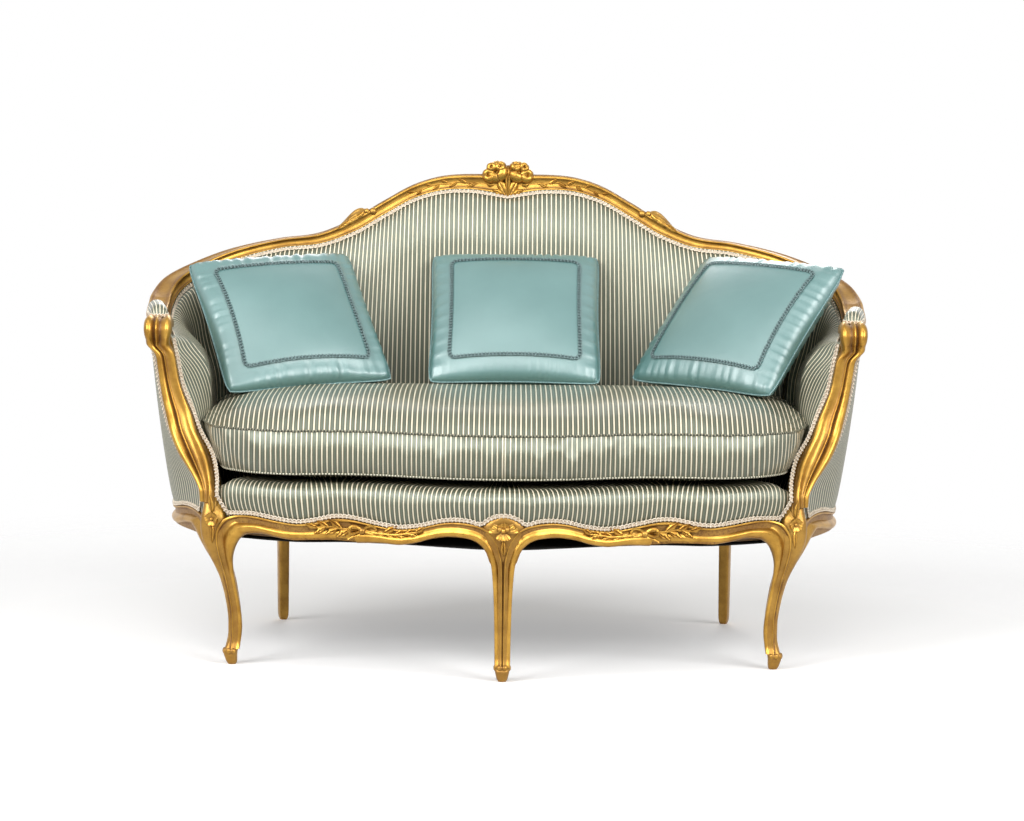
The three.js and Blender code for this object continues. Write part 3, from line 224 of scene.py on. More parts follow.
# The same for an arm support, from its outer edge to its inner edge
SUPPORT_BAND = [
    (0.0, -0.34, 0.6), (0.0, -0.05, 0.4), (0.04, 0.055, 0.1), (0.15, 0.125, 0.0), (0.27, 0.100, 0.0),
    (0.345, 0.01, 0.4), (0.375, -0.04, 1.0), (0.40, -0.015, 0.8), (0.43, 0.055, 0.0), (0.47, 0.060, 0.0),
    (0.505, 0.005, 0.6), (0.58, -0.025, 0.25), (0.70, -0.005, 0.0), (0.84, 0.070, 0.0), (0.94, 0.060, 0.1),
    (1.0, -0.05, 0.5), (1.0, -0.34, 0.6),
]
# The three ridges of the arm's scroll, over the same shares
SCROLL_BAND = [
    (0.0, -0.34, 0.6), (0.0, -0.10, 0.6), (0.04, 0.02, 0.2), (0.15, 0.110, 0.0), (0.27, 0.060, 0.1),
    (0.345, -0.045, 0.9), (0.375, -0.055, 1.0), (0.40, 0.0, 0.4), (0.45, 0.075, 0.0), (0.52, 0.095, 0.0),
    (0.59, 0.050, 0.2), (0.635, -0.035, 1.0), (0.70, 0.025, 0.3), (0.83, 0.110, 0.0), (0.94, 0.035, 0.2),
    (1.0, -0.10, 0.6), (1.0, -0.34, 0.6),
]
# Middle line of the scroll and its half width: depth, height, half width
SCROLL_LINE = [
    (-0.150, 0.6645, 0.0225), (-0.180, 0.6690, 0.0245), (-0.206, 0.6695, 0.0260),
    (-0.2225, 0.6635, 0.0270), (-0.2310, 0.6500, 0.0270), (-0.2300, 0.6370, 0.0260),
    (-0.2235, 0.6270, 0.0240), (-0.2195, 0.6170, 0.0222),
]
# The top rail's section: share of the depth inwards, share of the height down, painted shade
TOP_RAIL_SECTION = [
    (0.10, 0.02, 0.1), (0.02, 0.12, 0.1), (0.0, 0.24, 0.3), (0.05, 0.50, 0.2), (0.0, 0.78, 0.3),
    (0.10, 1.0, 0.6), (0.55, 1.0, 0.8), (0.93, 1.0, 0.9), (0.995, 0.985, 0.4), (1.0, 0.90, 0.1),
    (0.985, 0.865, 0.6), (0.950, 0.855, 1.0), (0.925, 0.78, 0.35), (0.905, 0.66, 0.1),
    (0.900, 0.52, 0.0), (0.915, 0.39, 0.0), (0.945, 0.315, 0.2), (0.955, 0.285, 0.9),
    (0.995, 0.255, 0.2), (1.015, 0.185, 0.0), (1.000, 0.11, 0.05), (0.950, 0.065, 0.4),
    (0.86, 0.095, 0.75), (0.70, 0.130, 0.3), (0.52, 0.135, 0.3), (0.34, 0.105, 0.5),
    (0.24, 0.02, 0.8), (0.17, -0.005, 0.9),
]

lerp = lambda a, b, t: a + (b - a) * t
xyz = lambda *axes: np.stack(np.broadcast_arrays(*axes), -1)


def along(table, place):
    """Smooth curve through the rows of a table: one value for each column after the first."""
    rows = np.array(table, float)
    at = np.clip(np.asarray(place, float), rows[0, 0], rows[-1, 0])
    row = np.clip(np.searchsorted(rows[:, 0], at, side="left") - 1, 0, len(rows) - 2)
    slopes = np.empty_like(rows[:, 1:])
    slopes[1:-1] = (rows[2:, 1:] - rows[:-2, 1:]) / (rows[2:, :1] - rows[:-2, :1])
    for end, low in ((0, 0), (-1, -2)):
        slopes[end] = (rows[low + 1, 1:] - rows[low, 1:]) / (rows[low + 1, 0] - rows[low, 0])
    span = (rows[row + 1, 0] - rows[row, 0])[..., None]
    part = (at - rows[row, 0])[..., None] / span
    bend = lerp(rows[row, 1:], rows[row + 1, 1:], part * part * (3 - 2 * part))
    leaving = part * (1 - part) ** 2 * span * slopes[row]
    return bend + leaving - part**2 * (1 - part) * span * slopes[row + 1]


def curve(table, place):
    return along(table, place)[..., 0]


def bezier(a, b, c, d, t):
    u = 1 - t
    return a * u**3 + 3 * b * t * u**2 + 3 * c * t**2 * u + d * t**3


def smoothstep(low, high, value):
    part = np.clip((value - low) / (high - low), 0, 1)
    return part * part * (3 - 2 * part)


def unit(vectors):
    return vectors / np.maximum(np.linalg.norm(vectors, axis=-1, keepdims=True), 1e-9)


def lengths(points):
    """Distance run along a line of points, starting at nought."""
    runs = np.linalg.norm(np.diff(points, axis=0), axis=-1)
    return np.concatenate([np.zeros((1,) + runs.shape[1:]), np.cumsum(runs, axis=0)])


def sampled(at, run, points):
    return np.column_stack([np.interp(at, run, column) for column in points.T])


def spline(points, count):
    """Points evenly spaced by length along a smooth curve through the given ones."""
    points = np.array(points, float)
    run = lengths(points)
    rough = along(np.column_stack([run, points]), np.linspace(0, run[-1], 6 * count))
    run = lengths(rough)
    return sampled(np.linspace(0, run[-1], count), run, rough)


def spread(*values):
    return np.broadcast_arrays(*(np.asarray(value, float) for value in values))


# The wall of the back and arms, and the seat front


def support_share(height):
    return (height - SUPPORT_FOOT.z) / (SUPPORT_TOP.z - SUPPORT_FOOT.z)


def support_at(height):
    """Middle, half width and half depth of an arm support."""
    out, back, wide, deep = np.moveaxis(along(SUPPORT_SHARES, support_share(height)), -1, 0)
    x, y = lerp(SUPPORT_FOOT.x, SUPPORT_TOP.x, out), lerp(SUPPORT_FOOT.y, SUPPORT_TOP.y, back)
    return x, y, SUPPORT_HALF_WIDTH * wide, SUPPORT_HALF_DEPTH * deep


def support_turn(height):
    """Angle by which a support's section is turned towards the corner, on its way down."""
    return lerp(math.pi / 4, 0, np.clip(support_share(height) / 0.5, 0, 1))


def support_point(height, across, back):
    """Points in a support's turned section, outwards and backwards from its middle."""
    x, y, _, _ = support_at(height)
    c, s = np.cos(support_turn(height)), np.sin(support_turn(height))
    return xyz(x + across * c - back * s, y + across * s + back * c + SHIFT, height)


def rail_top(place):
    return lerp(ARM_HEIGHT, CREST_HEIGHT, curve(RAIL_TOP_SHARES, np.abs(place)))


def rail_thickness(place):
    return TOP_RAIL_HEIGHT * curve(RAIL_HEIGHT_SHARES, np.abs(place))


def rail_bottom(place):
    return rail_top(place) - rail_thickness(place)


def side_rail_top(place):
    return SIDE_RAIL_TOP + RAIL_WAVE * curve(SIDE_EDGE_SHARES, np.abs(place))


def plan_at(place, height):
    t = np.abs(place)
    lean = np.clip((height - WALL_FOOT) / (rail_top(t) - WALL_FOOT), 0, 1) ** FLARE_SHARE
    half = lerp(SEAT_HALF_WIDTH, TOP_HALF_WIDTH, lean)
    wide_y, back_y = lerp(SEAT_WIDEST_Y, TOP_WIDEST_Y, lean), lerp(SEAT_BACK_Y, TOP_BACK_Y, lean)
    part = np.clip(t, 0, 1)
    back_x = bezier(0, half * CORNER_SHARE, half, half, part)
    back_depth = bezier(back_y, back_y, lerp(wide_y, back_y, CORNER_SHARE), wide_y, part)
    x, y, half_width, half_depth = support_at(height)
    front_x, front_y = x + half_width - PANEL, y + half_depth - SUPPORT_REBATE
    part = np.clip(t - 1, 0, 1.1)
    arm_x = bezier(half, half, lerp(half, front_x, ARM_BEND_SHARE), front_x, part)
    bends = lerp(wide_y, front_y, ARM_BEND_SHARE), lerp(front_y, wide_y, ARM_BEND_SHARE)
    arm_y = bezier(wide_y, *bends, front_y, part)
    out = np.where(t <= 1, back_x, arm_x)
    return np.stack([np.where(place < 0, -out, out), np.where(t <= 1, back_depth, arm_y)], -1)


def wall_point(place, inset, height, level=None):
    """Points of the wall at places and heights, moved inwards from the outer face, and upright to a
    level where one is given."""
    place, inset, height = spread(place, inset, height)
    step = 0.001
    x, y = np.moveaxis(plan_at(place, height), -1, 0)
    tangent = unit(plan_at(place + step, height) - plan_at(place - step, height))
    x, y = x + tangent[..., 1] * inset, y - tangent[..., 0] * inset + SHIFT
    return xyz(x, y, height if level is None else level)


def wall_outward(place, height):
    return wall_point(place, -0.02, height) - wall_point(place, 0.0, height)


def front_plan(x):
    """Depth of the seat front's outer face."""
    return FRONT_CORNER_Y - FRONT_BOW * curve(FRONT_PLAN_SHARES, np.abs(x) / FRONT_HALF_WIDTH) + SHIFT


def front_point(x, inset, height):
    """Points of the seat front, moved inwards from its outer face."""
    x, inset, height = spread(x, inset, height)
    step = 0.0006
    tangent = unit(xyz(2 * step, front_plan(x + step) - front_plan(x - step)))
    return np.stack([x - tangent[..., 1] * inset, front_plan(x) + tangent[..., 0] * inset, height], -1)


# Meshes: a part is its points, faces, corner UVs and painted shade, per point


def linked(name, data):
    thing = bpy.data.objects.new(name, data)
    bpy.context.scene.collection.objects.link(thing)
    return thing


def mesh_piece(name, points, faces, uvs=None, painted_shade=None, material=None, sharp=50):
    mesh = bpy.data.meshes.new(name)
    mesh.from_pydata(points.tolist(), [], [tuple(f) for f in faces])
    if uvs is not None:
        mesh.uv_layers.new(name="cloth").data.foreach_set("uv", np.array(uvs, np.float32).ravel())
    # Per-point painted shade, by which the gilt and thread materials darken
    if painted_shade is not None:
        field = mesh.attributes.new("painted_shade", "FLOAT", "POINT")
        field.data.foreach_set("value", np.array(painted_shade, np.float32))
    mesh.update()
    piece = linked(name, mesh)
    work = bmesh.new()
    work.from_mesh(mesh)
    bmesh.ops.recalc_face_normals(work, faces=work.faces)
    work.to_mesh(mesh)
    work.free()
    mesh.shade_smooth()
    mesh.set_sharp_from_angle(angle=math.radians(sharp))
    if material:
        mesh.materials.append(material)
    return piece


def grid(points, uv=None, values=None, loop_rows=False, loop_columns=False, caps=False):
    """A skin over a grid of points."""
    rows, columns = points.shape[:2]
    ends = np.arange(rows - 1 + loop_rows), np.arange(columns - 1 + loop_columns)
    r, c = np.meshgrid(*ends, indexing="ij")
    corners = [(r, c), (r + 1, c), (r + 1, c + 1), (r, c + 1)]
    faces = np.stack([(a % rows) * columns + b % columns for a, b in corners], -1)
    faces = [tuple(f) for f in faces.reshape(-1, 4)]
    uvs = None if uv is None else np.stack([uv[a, b] for a, b in corners], -2).reshape(-1, 2)
    flat = points.reshape(-1, 3)
    field = None if values is None else np.broadcast_to(values, (rows, columns)).reshape(-1)
    for row in (0, rows - 1) if caps else ():
        ring = row * columns + np.arange(columns)
        around = ring if row == 0 else ring[::-1]
        faces += [(a, b, len(flat)) for a, b in zip(around, np.roll(around, -1))]
        flat = np.vstack([flat, flat[ring].mean(0)])
        field = None if field is None else np.append(field, field[ring].mean())
    return flat, faces, uvs, field


def solid(points, painted_shade):
    """A rod with rings of points round it, closed at its ends."""
    return grid(points, None, painted_shade, loop_columns=True, caps=True)


def mirror(part):
    points, faces, uvs, field = part
    if uvs is not None:
        ends = np.cumsum([len(face) for face in faces])
        uvs = np.concatenate([uvs[end - len(face) : end][::-1] for face, end in zip(faces, ends)])
    return points * [-1, 1, 1], [tuple(reversed(f)) for f in faces], uvs, field


def both(parts):
    return parts + [mirror(part) for part in parts]


def merge(parts):
    starts = np.cumsum([0] + [len(part[0]) for part in parts])
    faces = [tuple(i + start for i in face) for part, start in zip(parts, starts) for face in part[1]]
    uvs = [part[2] for part in parts if part[2] is not None]
    fields = [np.zeros(len(part[0])) if part[3] is None else part[3] for part in parts]
    points = np.vstack([part[0] for part in parts])
    return points, faces, np.vstack(uvs) if uvs else None, np.concatenate(fields)


def build(name, parts, material, nodes=(), sharp=50, body="frame"):
    """A finished piece; where its name says SIDE, one for the right and its mirror for the left."""
    sides = {"": parts}
    if "SIDE" in name:
        sides = {"right": parts, "left": [mirror(part) for part in parts]}
    for side, kept in sides.items():
        piece = mesh_piece(name.replace("SIDE", side), *merge(kept), material, sharp)
        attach(piece, body)
        if nodes:
            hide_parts(*[node.replace("SIDE", side) for node in nodes])


def band(first, second, outward, across, heights, painted_shade):
    """A moulding between two edge lines. The height of its face is a share of its width, for each
    row and share across."""
    run = second - first
    normal = unit(outward - unit(run) * np.sum(outward * unit(run), -1, keepdims=True))
    lift = heights * np.linalg.norm(run, axis=-1)[:, None]
    points = first[:, None] + run[:, None] * across[:, None] + normal[:, None] * lift[..., None]
    return solid(points, painted_shade)


def round_profile(rows, steps=3):
    """Share across, height and painted shade of a profile, with a smooth curve between its rows."""
    table = [(i, *row) for i, row in enumerate(rows)]
    across, heights, painted_shade = along(table, np.linspace(0, len(rows) - 1, (len(rows) - 1) * steps + 1)).T
    return across, heights, np.clip(painted_shade, 0, 1)


def rounded_square(power, count=36):
    angles = np.linspace(0, 2 * np.pi, count, endpoint=False)
    c, s = np.cos(angles), np.sin(angles)
    size = (np.abs(c) ** power + np.abs(s) ** power) ** (-1 / power)
    return c * size, s * size


def leaf(length, width, thickness, curl=0.0, lobes=0):
    """A carved leaf that grows along +Y from the origin, its face towards +Z."""
    u, v = np.linspace(0, 1, 14)[:, None], np.linspace(-1, 1, 9)
    half = width / 2 * np.sin(np.pi * np.clip(u, 0.02, 0.985) ** 0.8) ** 0.75
    half = half * (1 + 0.16 * (lobes > 0) * np.cos(2 * np.pi * lobes * u))
    rib = np.exp(-((v / 0.16) ** 2))
    veins = 0.10 * np.sin(2 * np.pi * (4 * u - 1.3 * np.abs(v)))
    body = (1 - v**2) ** 0.6 * (0.55 + 0.45 * np.sin(np.pi * u))
    z = thickness * (body * (1 - 0.38 * rib + veins * (1 - rib))) + curl * u**2
    # Painted shade along the midrib's groove and on the rims
    painted_shade = np.clip(0.55 * rib * (1 - u * 0.6) + 0.6 * np.abs(v) ** 8, 0, 1)
    return grid(xyz(half * v, length * u, z), values=painted_shade)


def petal(length, width, thickness, cup=0.0):
    """A round petal along +Y with a rolled rim."""
    u, v = np.linspace(0, 1, 9)[:, None], np.linspace(-1, 1, 9)
    half = width / 2 * (np.clip(u, 0.03, 1) ** 0.55) * np.sqrt(np.clip(1.03 - u**4, 0, 1))
    ruffle = 0.12 * thickness * np.cos(5 * np.pi * v) * u
    z = thickness * (0.35 + 0.65 * u) * (1 - 0.35 * v**2) + cup * u**2 * (1 + v**2) + ruffle
    z = z - thickness * np.clip((u - 0.86) / 0.14, 0, 1) ** 2 * 0.9
    # Painted shade at the petal's root and on its rims
    painted_shade = np.clip(1 - 1.5 * u, 0, 1) * 0.9 + 0.5 * np.abs(v) ** 6
    return grid(xyz(half * v, length * u, z), values=painted_shade)


def bump(radius, flat=1.0):
    """A half ball on the XY plane."""
    a = np.linspace(0.02, np.pi / 2 * 1.2, 7)[:, None]
    b = np.linspace(0, 2 * np.pi, 12, endpoint=False)
    points = xyz(np.sin(a) * np.cos(b), np.sin(a) * np.sin(b), flat * np.cos(a)) * radius
    # Painted shade growing towards the half ball's foot
    return solid(points, np.linspace(0, 0.9, 7)[:, None])


def rosette(radius, petals, depth, start=0.0):
    """A plump flower head on the XY plane: round petals that meet in creases round a small pit."""
    around = np.linspace(0, 2 * np.pi, 14 * petals, endpoint=False)
    table = [
        (0, 0.0, 0.30, 1.0), (1, 0.10, 0.40, 0.7), (2, 0.22, 0.80, 0.1), (3, 0.45, 1.0, 0),
        (4, 0.74, 0.84, 0), (5, 0.94, 0.40, 0.1), (6, 1.0, -0.05, 0.5), (7, 0.96, -0.6, 1),
    ]
    share, lift, shade = along(table, np.linspace(0, 7, 22)).T[..., None]
    full = np.abs(np.sin(petals / 2 * (around - start))) ** 0.42
    reach = radius * share * lerp(1, 0.84 + 0.16 * full, np.clip(share * 1.5, 0, 1))
    hollow = (1 - full) * np.clip(share * 2, 0, 1)
    rise = depth * lift * (1 - 0.34 * hollow) * (1 + 0.06 * np.cos(3 * petals * around) * share**3)
    # Painted shade in the creases between petals, in the pit and under the rim
    painted_shade = np.clip(shade + 0.85 * (1 - full) * hollow, 0, 1)
    return solid(xyz(reach * np.cos(around), reach * np.sin(around), rise), painted_shade)


def placed(part, origin, up, out):
    """A part whose +Y goes up and whose +Z faces out, at a point."""
    out = Vector(out).normalized()
    up = Vector(up)
    up = (up - out * up.dot(out)).normalized()
    return part[0] @ np.array([up.cross(out), up, out]) + np.array(origin), *part[1:]


def tube(path, radius, sides=8, closed=False, uv_pitch=None):
    """A round tube along a line of points; its radius may change along it."""
    path = np.asarray(path, float)
    ahead = np.roll(path, -1, 0) - np.roll(path, 1, 0)
    if not closed:
        ahead[0], ahead[-1] = path[1] - path[0], path[-1] - path[-2]
    tangent = unit(ahead)
    guide = np.where(np.abs(tangent[:, 2:3]) > 0.9, [[0.0, 1.0, 0.0]], [[0.0, 0.0, 1.0]])
    side = unit(np.cross(tangent, guide))
    up = np.cross(side, tangent)
    angle = np.linspace(0, 2 * np.pi, sides, endpoint=False)[:, None]
    wide = np.broadcast_to(np.asarray(radius, float), (len(path),))[:, None, None]
    points = path[:, None] + (side[:, None] * np.cos(angle) + up[:, None] * np.sin(angle)) * wide
    uv = None
    if uv_pitch:
        run = np.append(lengths(path), lengths(path)[-1] + 0.01)
        uv = xyz(run[:, None], np.linspace(0, uv_pitch, sides + 1))
    return grid(points, uv, None, closed, True, not closed)


def gimp(path, outward, width=GIMP_WIDTH, period=GIMP_PERIOD, strand=GIMP_STRAND):
    """Looped braid along a line of points on a face with the given outward directions: one cord that
    loops over itself, on a flat tape."""
    run = lengths(path)
    turns = max(2, int(run[-1] / period))
    count = 13 * turns
    phase = np.linspace(0, 2 * np.pi * turns, count)[:, None]
    even = np.linspace(0, run[-1], count)
    line, normal = sampled(even, run, path), unit(sampled(even, run, outward))
    tangent = unit(np.gradient(line, axis=0))
    side = unit(np.cross(tangent, normal))
    normal = np.cross(side, tangent)
    reach = width / 2 - strand
    lift = strand * (1.25 + 0.6 * np.sin(phase + 0.8))
    cord = line + tangent * 0.30 * period * np.sin(phase) + side * reach * np.cos(phase) + normal * lift
    edge = np.linspace(-1, 1, 4)[:, None] * reach * 0.75
    tape = line[::4, None] + side[::4, None] * edge + normal[::4, None] * 0.0005
    # The tape under the loops is given full painted shade
    return [tube(cord, strand, 5), grid(tape, values=1.0)]


# Materials


def nodes_of(name):
    material = bpy.data.materials.new(name)
    material.use_nodes = True
    tree = material.node_tree
    return material, tree, next(n for n in tree.nodes if n.type == "BSDF_PRINCIPLED")


def fill(node, **values):
    """Sets a node's inputs, each to a socket or a value, and its own settings."""
    for key, value in values.items():
        name = key.replace("_", " ")
        if name not in node.inputs:
            setattr(node, key, value)
        elif isinstance(value, bpy.types.NodeSocket):
            node.id_data.links.new(value, node.inputs[name])
        else:
            node.inputs[name].default_value = value
    return node


def add(tree, kind, **values):
    return fill(tree.nodes.new("ShaderNode" + kind), **values)


def by_number(tree, node, values):
    for index, value in values.items():
        if isinstance(value, bpy.types.NodeSocket):
            tree.links.new(value, node.inputs[index])
        elif isinstance(value, tuple):
            node.inputs[index].default_value = (*value, 1)
        else:
            node.inputs[index].default_value = value


def ramp(tree, source, stops):
    """A colour ramp over a value; stops are (position, colour)."""
    node = add(tree, "ValToRGB", Fac=source)
    elements = node.color_ramp.elements
    elements.remove(elements[-1])
    elements[0].position, elements[0].color = stops[0][0], (*stops[0][1], 1)
    for position, colour in stops[1:]:
        elements.new(position).color = (*colour, 1)
    return node.outputs["Color"]


def mix(tree, factor, first, second, blend="MIX"):
    node = add(tree, "Mix", data_type="RGBA", blend_type=blend)
    by_number(tree, node, {0: factor, 6: first, 7: second})
    return node.outputs[2]


def calc(tree, operation, *values, clamp=False):
    node = add(tree, "Math", operation=operation, use_clamp=clamp)
    by_number(tree, node, dict(enumerate(values)))
    return node.outputs[0]


def noise(tree, scale, detail=3.0, roughness=0.5, vector=None):
    vector = vector or add(tree, "TexCoord").outputs["Object"]
    node = add(tree, "TexNoise", Scale=scale, Detail=detail, Roughness=roughness, Vector=vector)
    return node.outputs["Fac"]


def share_of(tree, source, low, high):
    """0 at low and 1 at high, clamped."""
    return add(tree, "MapRange", clamp=True, Value=source, From_Min=low, From_Max=high).outputs["Result"]


def painted_shade_of(tree):
    return add(tree, "Attribute", attribute_name="painted_shade").outputs["Fac"]


def bumped(tree, height, strength, distance):
    return add(tree, "Bump", Strength=strength, Distance=distance, Height=height).outputs["Normal"]


def stripe_of(tree, pitch):
    """The cloth's UV, and the share of a stripe that it has run across."""
    uv = add(tree, "UVMap", uv_map="cloth").outputs["UV"]
    across = add(tree, "SeparateXYZ", Vector=uv).outputs[0]
    return uv, calc(tree, "FRACT", calc(tree, "DIVIDE", across, pitch))


GOLD_BRIGHT = (0.57, 0.325, 0.062)
GOLD_DEEP = (0.345, 0.177, 0.030)
# Reddish bole, shown on the rubbed edges, and also the colour of the painted shade in the hollows
BOLE_AND_HOLLOW_SHADE = (0.110, 0.040, 0.012)


def gilt_material():
    """Water gilding: satin leaf over reddish bole, rubbed on its edges, with painted shade that darkens its hollows.
    """
    material, tree, shader = nodes_of("gilt")
    point = add(tree, "NewGeometry").outputs["Pointiness"]
    fine = noise(tree, 260, 3, 0.6)
    leaf_colour = mix(tree, share_of(tree, noise(tree, 26, 4, 0.6), 0.35, 0.68), GOLD_DEEP, GOLD_BRIGHT)
    # Painted shade in the hollows: the per-point shade attribute and concave spots by pointiness, with a patchy
    # strength
    hollow_shade = calc(tree, "MAXIMUM", painted_shade_of(tree), share_of(tree, point, 0.495, 0.455), clamp=True)
    patchy = calc(tree, "ADD", calc(tree, "MULTIPLY_ADD", fine, 0.9, -0.35), 0.72)
    hollow_shade = calc(tree, "MULTIPLY", hollow_shade, patchy, clamp=True)
    edges = share_of(tree, point, 0.525, 0.575)
    rubbed = calc(tree, "MULTIPLY", edges, share_of(tree, fine, 0.5, 0.62))
    colour = mix(tree, calc(tree, "MULTIPLY", rubbed, 0.45), leaf_colour, BOLE_AND_HOLLOW_SHADE)
    rough = calc(tree, "MULTIPLY_ADD", fine, 0.22, 0.20)
    # The painted shade darkens the leaf towards bole, and makes it less metallic and rougher
    fill(
        shader,
        Base_Color=mix(tree, hollow_shade, colour, BOLE_AND_HOLLOW_SHADE),
        Metallic=calc(tree, "MULTIPLY_ADD", hollow_shade, -0.75, 0.92, clamp=True),
        Roughness=calc(tree, "MULTIPLY_ADD", hollow_shade, 0.25, rough, clamp=True),
        Normal=bumped(tree, calc(tree, "ADD", fine, noise(tree, 70, 2)), 0.35, 0.0006),
    )
    return material


CREAM = (0.82, 0.76, 0.60)
TAN = (0.31, 0.235, 0.12)
SAGE = (0.078, 0.091, 0.062)
DARK_SAGE = (0.018, 0.022, 0.013)


def silk_material():
    """Satin with a cream line, tan edges and a sage field between dark lines, by the cloth's UV."""
    material, tree, shader = nodes_of("striped_silk")
    uv, part = stripe_of(tree, STRIPE_PITCH)
    stops = [
        (0.0, TAN), (0.03, TAN), (0.05, CREAM), (0.25, CREAM), (0.27, TAN), (0.325, TAN),
        (0.345, DARK_SAGE), (0.42, DARK_SAGE), (0.45, SAGE), (0.84, SAGE), (0.87, DARK_SAGE),
        (0.965, DARK_SAGE), (0.985, TAN), (1.0, TAN),
    ]
    slub = noise(tree, 700, 2, 0.5, uv)
    shade = mix(tree, slub, (0.55, 0.55, 0.55), (1.3, 1.3, 1.3))
    scaled = add(tree, "Mapping", Vector=uv, Scale=(90, 260, 1)).outputs[0]
    weave = add(tree, "TexWave", Scale=1.0, Distortion=0.0, Vector=scaled, bands_direction="Y")
    rib = calc(tree, "MULTIPLY", calc(tree, "PINGPONG", part, 0.5), 2.0)
    height = calc(tree, "ADD", calc(tree, "ADD", weave.outputs["Fac"], rib), slub)
    fill(
        shader,
        Base_Color=mix(tree, 0.30, ramp(tree, part, stops), shade, "MULTIPLY"),
        Roughness=0.42,
        Specular_IOR_Level=1.0,
        Specular_Tint=(0.91, 1.0, 0.83, 1),
        Anisotropic=0.80,
        Tangent=add(tree, "Tangent", direction_type="UV_MAP", uv_map="cloth").outputs[0],
        Coat_Weight=0.25,
        Coat_Roughness=0.38,
        Coat_IOR=1.6,
        Normal=bumped(tree, height, 0.12, 0.0003),
    )
    return material


def satin_material():
    material, tree, shader = nodes_of("aqua_satin")
    cloud = share_of(tree, noise(tree, 9, 3, 0.5), 0.3, 0.7)
    height = calc(tree, "MULTIPLY_ADD", noise(tree, 30, 3, 0.55), 5.0, noise(tree, 1400, 2, 0.6))
    fill(
        shader,
        Base_Color=mix(tree, cloud, (0.052, 0.160, 0.152), (0.075, 0.195, 0.187)),
        Roughness=0.44,
        Specular_IOR_Level=1.0,
        Specular_Tint=(0.90, 1.0, 1.0, 1),
        Coat_Weight=1.0,
        Coat_Roughness=0.40,
        Coat_IOR=1.8,
        Normal=bumped(tree, height, 0.20, 0.0012),
    )
    return material


def cord_material(name, light, dark):
    """Piping covered with the striped silk on the bias: light and dark by turns along it."""
    material, tree, shader = nodes_of(name)
    uv, part = stripe_of(tree, 0.0062)
    colour = ramp(tree, part, [(0.0, light), (0.36, light), (0.46, dark), (0.90, dark), (1.0, light)])
    normal = bumped(tree, noise(tree, 700, 2, 0.5, uv), 0.3, 0.0004)
    fill(shader, Base_Color=colour, Roughness=0.5, Normal=normal)
    return material


def thread_material(name, light, dark, rough=0.7, metal=0.0):
    """Twisted thread, with painted shade on the tape under it and a random grain."""
    material, tree, shader = nodes_of(name)
    grain = noise(tree, 420, 3, 0.6)
    # Painted shade from the per-point attribute, mixed with the thread's random grain
    shade = calc(tree, "MAXIMUM", painted_shade_of(tree), share_of(tree, grain, 0.62, 0.36), clamp=True)
    fill(shader, Base_Color=mix(tree, shade, light, dark), Normal=bumped(tree, grain, 0.4, 0.0004))
    fill(shader, Roughness=rough, Metallic=metal, Sheen_Weight=0.2)
    return material


def wood_material():
    material, tree, shader = nodes_of("beech")
    spot = add(tree, "TexCoord").outputs["Object"]
    grain = noise(tree, 3, 5, 0.6, add(tree, "Mapping", Vector=spot, Scale=(4, 60, 60)).outputs[0])
    colour = mix(tree, grain, (0.30, 0.18, 0.085), (0.47, 0.32, 0.18))
    fill(shader, Base_Color=colour, Roughness=0.65, Normal=bumped(tree, grain, 0.3, 0.001))
    return material


def cloth_material(name, light, dark, pitch):
    """Plain woven cloth, by object coordinates."""
    material, tree, shader = nodes_of(name)
    spot = add(tree, "TexCoord").outputs["Object"]
    scale = 1 / (pitch * 20)
    waves = [
        add(tree, "TexWave", Scale=scale, Distortion=0.6, Vector=spot, bands_direction=axis).outputs["Fac"]
        for axis in "XY"
    ]
    weave = calc(tree, "MULTIPLY", *waves)
    fill(shader, Base_Color=mix(tree, weave, dark, light), Roughness=0.9)
    fill(shader, Normal=bumped(tree, weave, 0.5, pitch / 2))
    return material


GILT = gilt_material()
SILK = silk_material()
SATIN = satin_material()
GIMP = thread_material("gimp", (0.93, 0.84, 0.70), (0.64, 0.53, 0.40))
PIPING = cord_material("piping", (0.74, 0.70, 0.55), (0.085, 0.09, 0.055))
# Upper piping in darkened copies of the piping's colours: painted shade of the seam under the crown
PAINTED_SEAM_SHADE = cord_material("seam", (0.26, 0.25, 0.17), (0.030, 0.032, 0.020))
BRAID = thread_material("pillow_braid", (0.19, 0.29, 0.29), (0.045, 0.085, 0.085), 0.5, 0.2)
SATIN_CORD = thread_material("satin_cord", (0.22, 0.36, 0.36), (0.08, 0.15, 0.15), 0.4, 0.2)
WOOD = wood_material()
JUTE = cloth_material("jute", (0.50, 0.38, 0.22), (0.26, 0.19, 0.10), 0.003)
BLACK = cloth_material("black_cloth", (0.020, 0.019, 0.018), (0.008, 0.008, 0.008), 0.002)


# Camera, lights and floor

CAMERA_SPOT = Vector((0.0137, -5.780, 1.0))
CAMERA_PITCH = 84.888
CAMERA_ROLL = 0.579
SENSOR = 36.0
FOCAL_SHARE = 2900 / 1024  # of the picture's width
WORLD_FILL = 0.10
FLOOR_REACH = 4.2
FLOOR_FADE = (1.1, 2.4)
FLOOR_GLOW = 0.16
FLOOR_BOUNCE = (0.20, 0.197, 0.19)
FLOOR_COLOUR = (0.90, 0.895, 0.89)
# Place, target's height, size and power in watts of each lamp
LAMPS = {
    "left": ((-3.5, -3.1, 3.1), 0.5, (3.0, 3.0), 225),
    "right": ((3.5, -3.1, 2.9), 0.5, (3.0, 3.0), 205),
    "front": ((-0.4, -4.6, 3.2), 0.5, (2.8, 1.5), 88),
    "high": ((-0.4, -1.3, 4.2), 0.5, (2.8, 1.2), 26),
    "behind": ((0.3, 4.6, 2.8), 0.6, (3.0, 2.0), 90),
}


def turned(degrees, axis, size=4):
    return Matrix.Rotation(math.radians(degrees), size, axis)


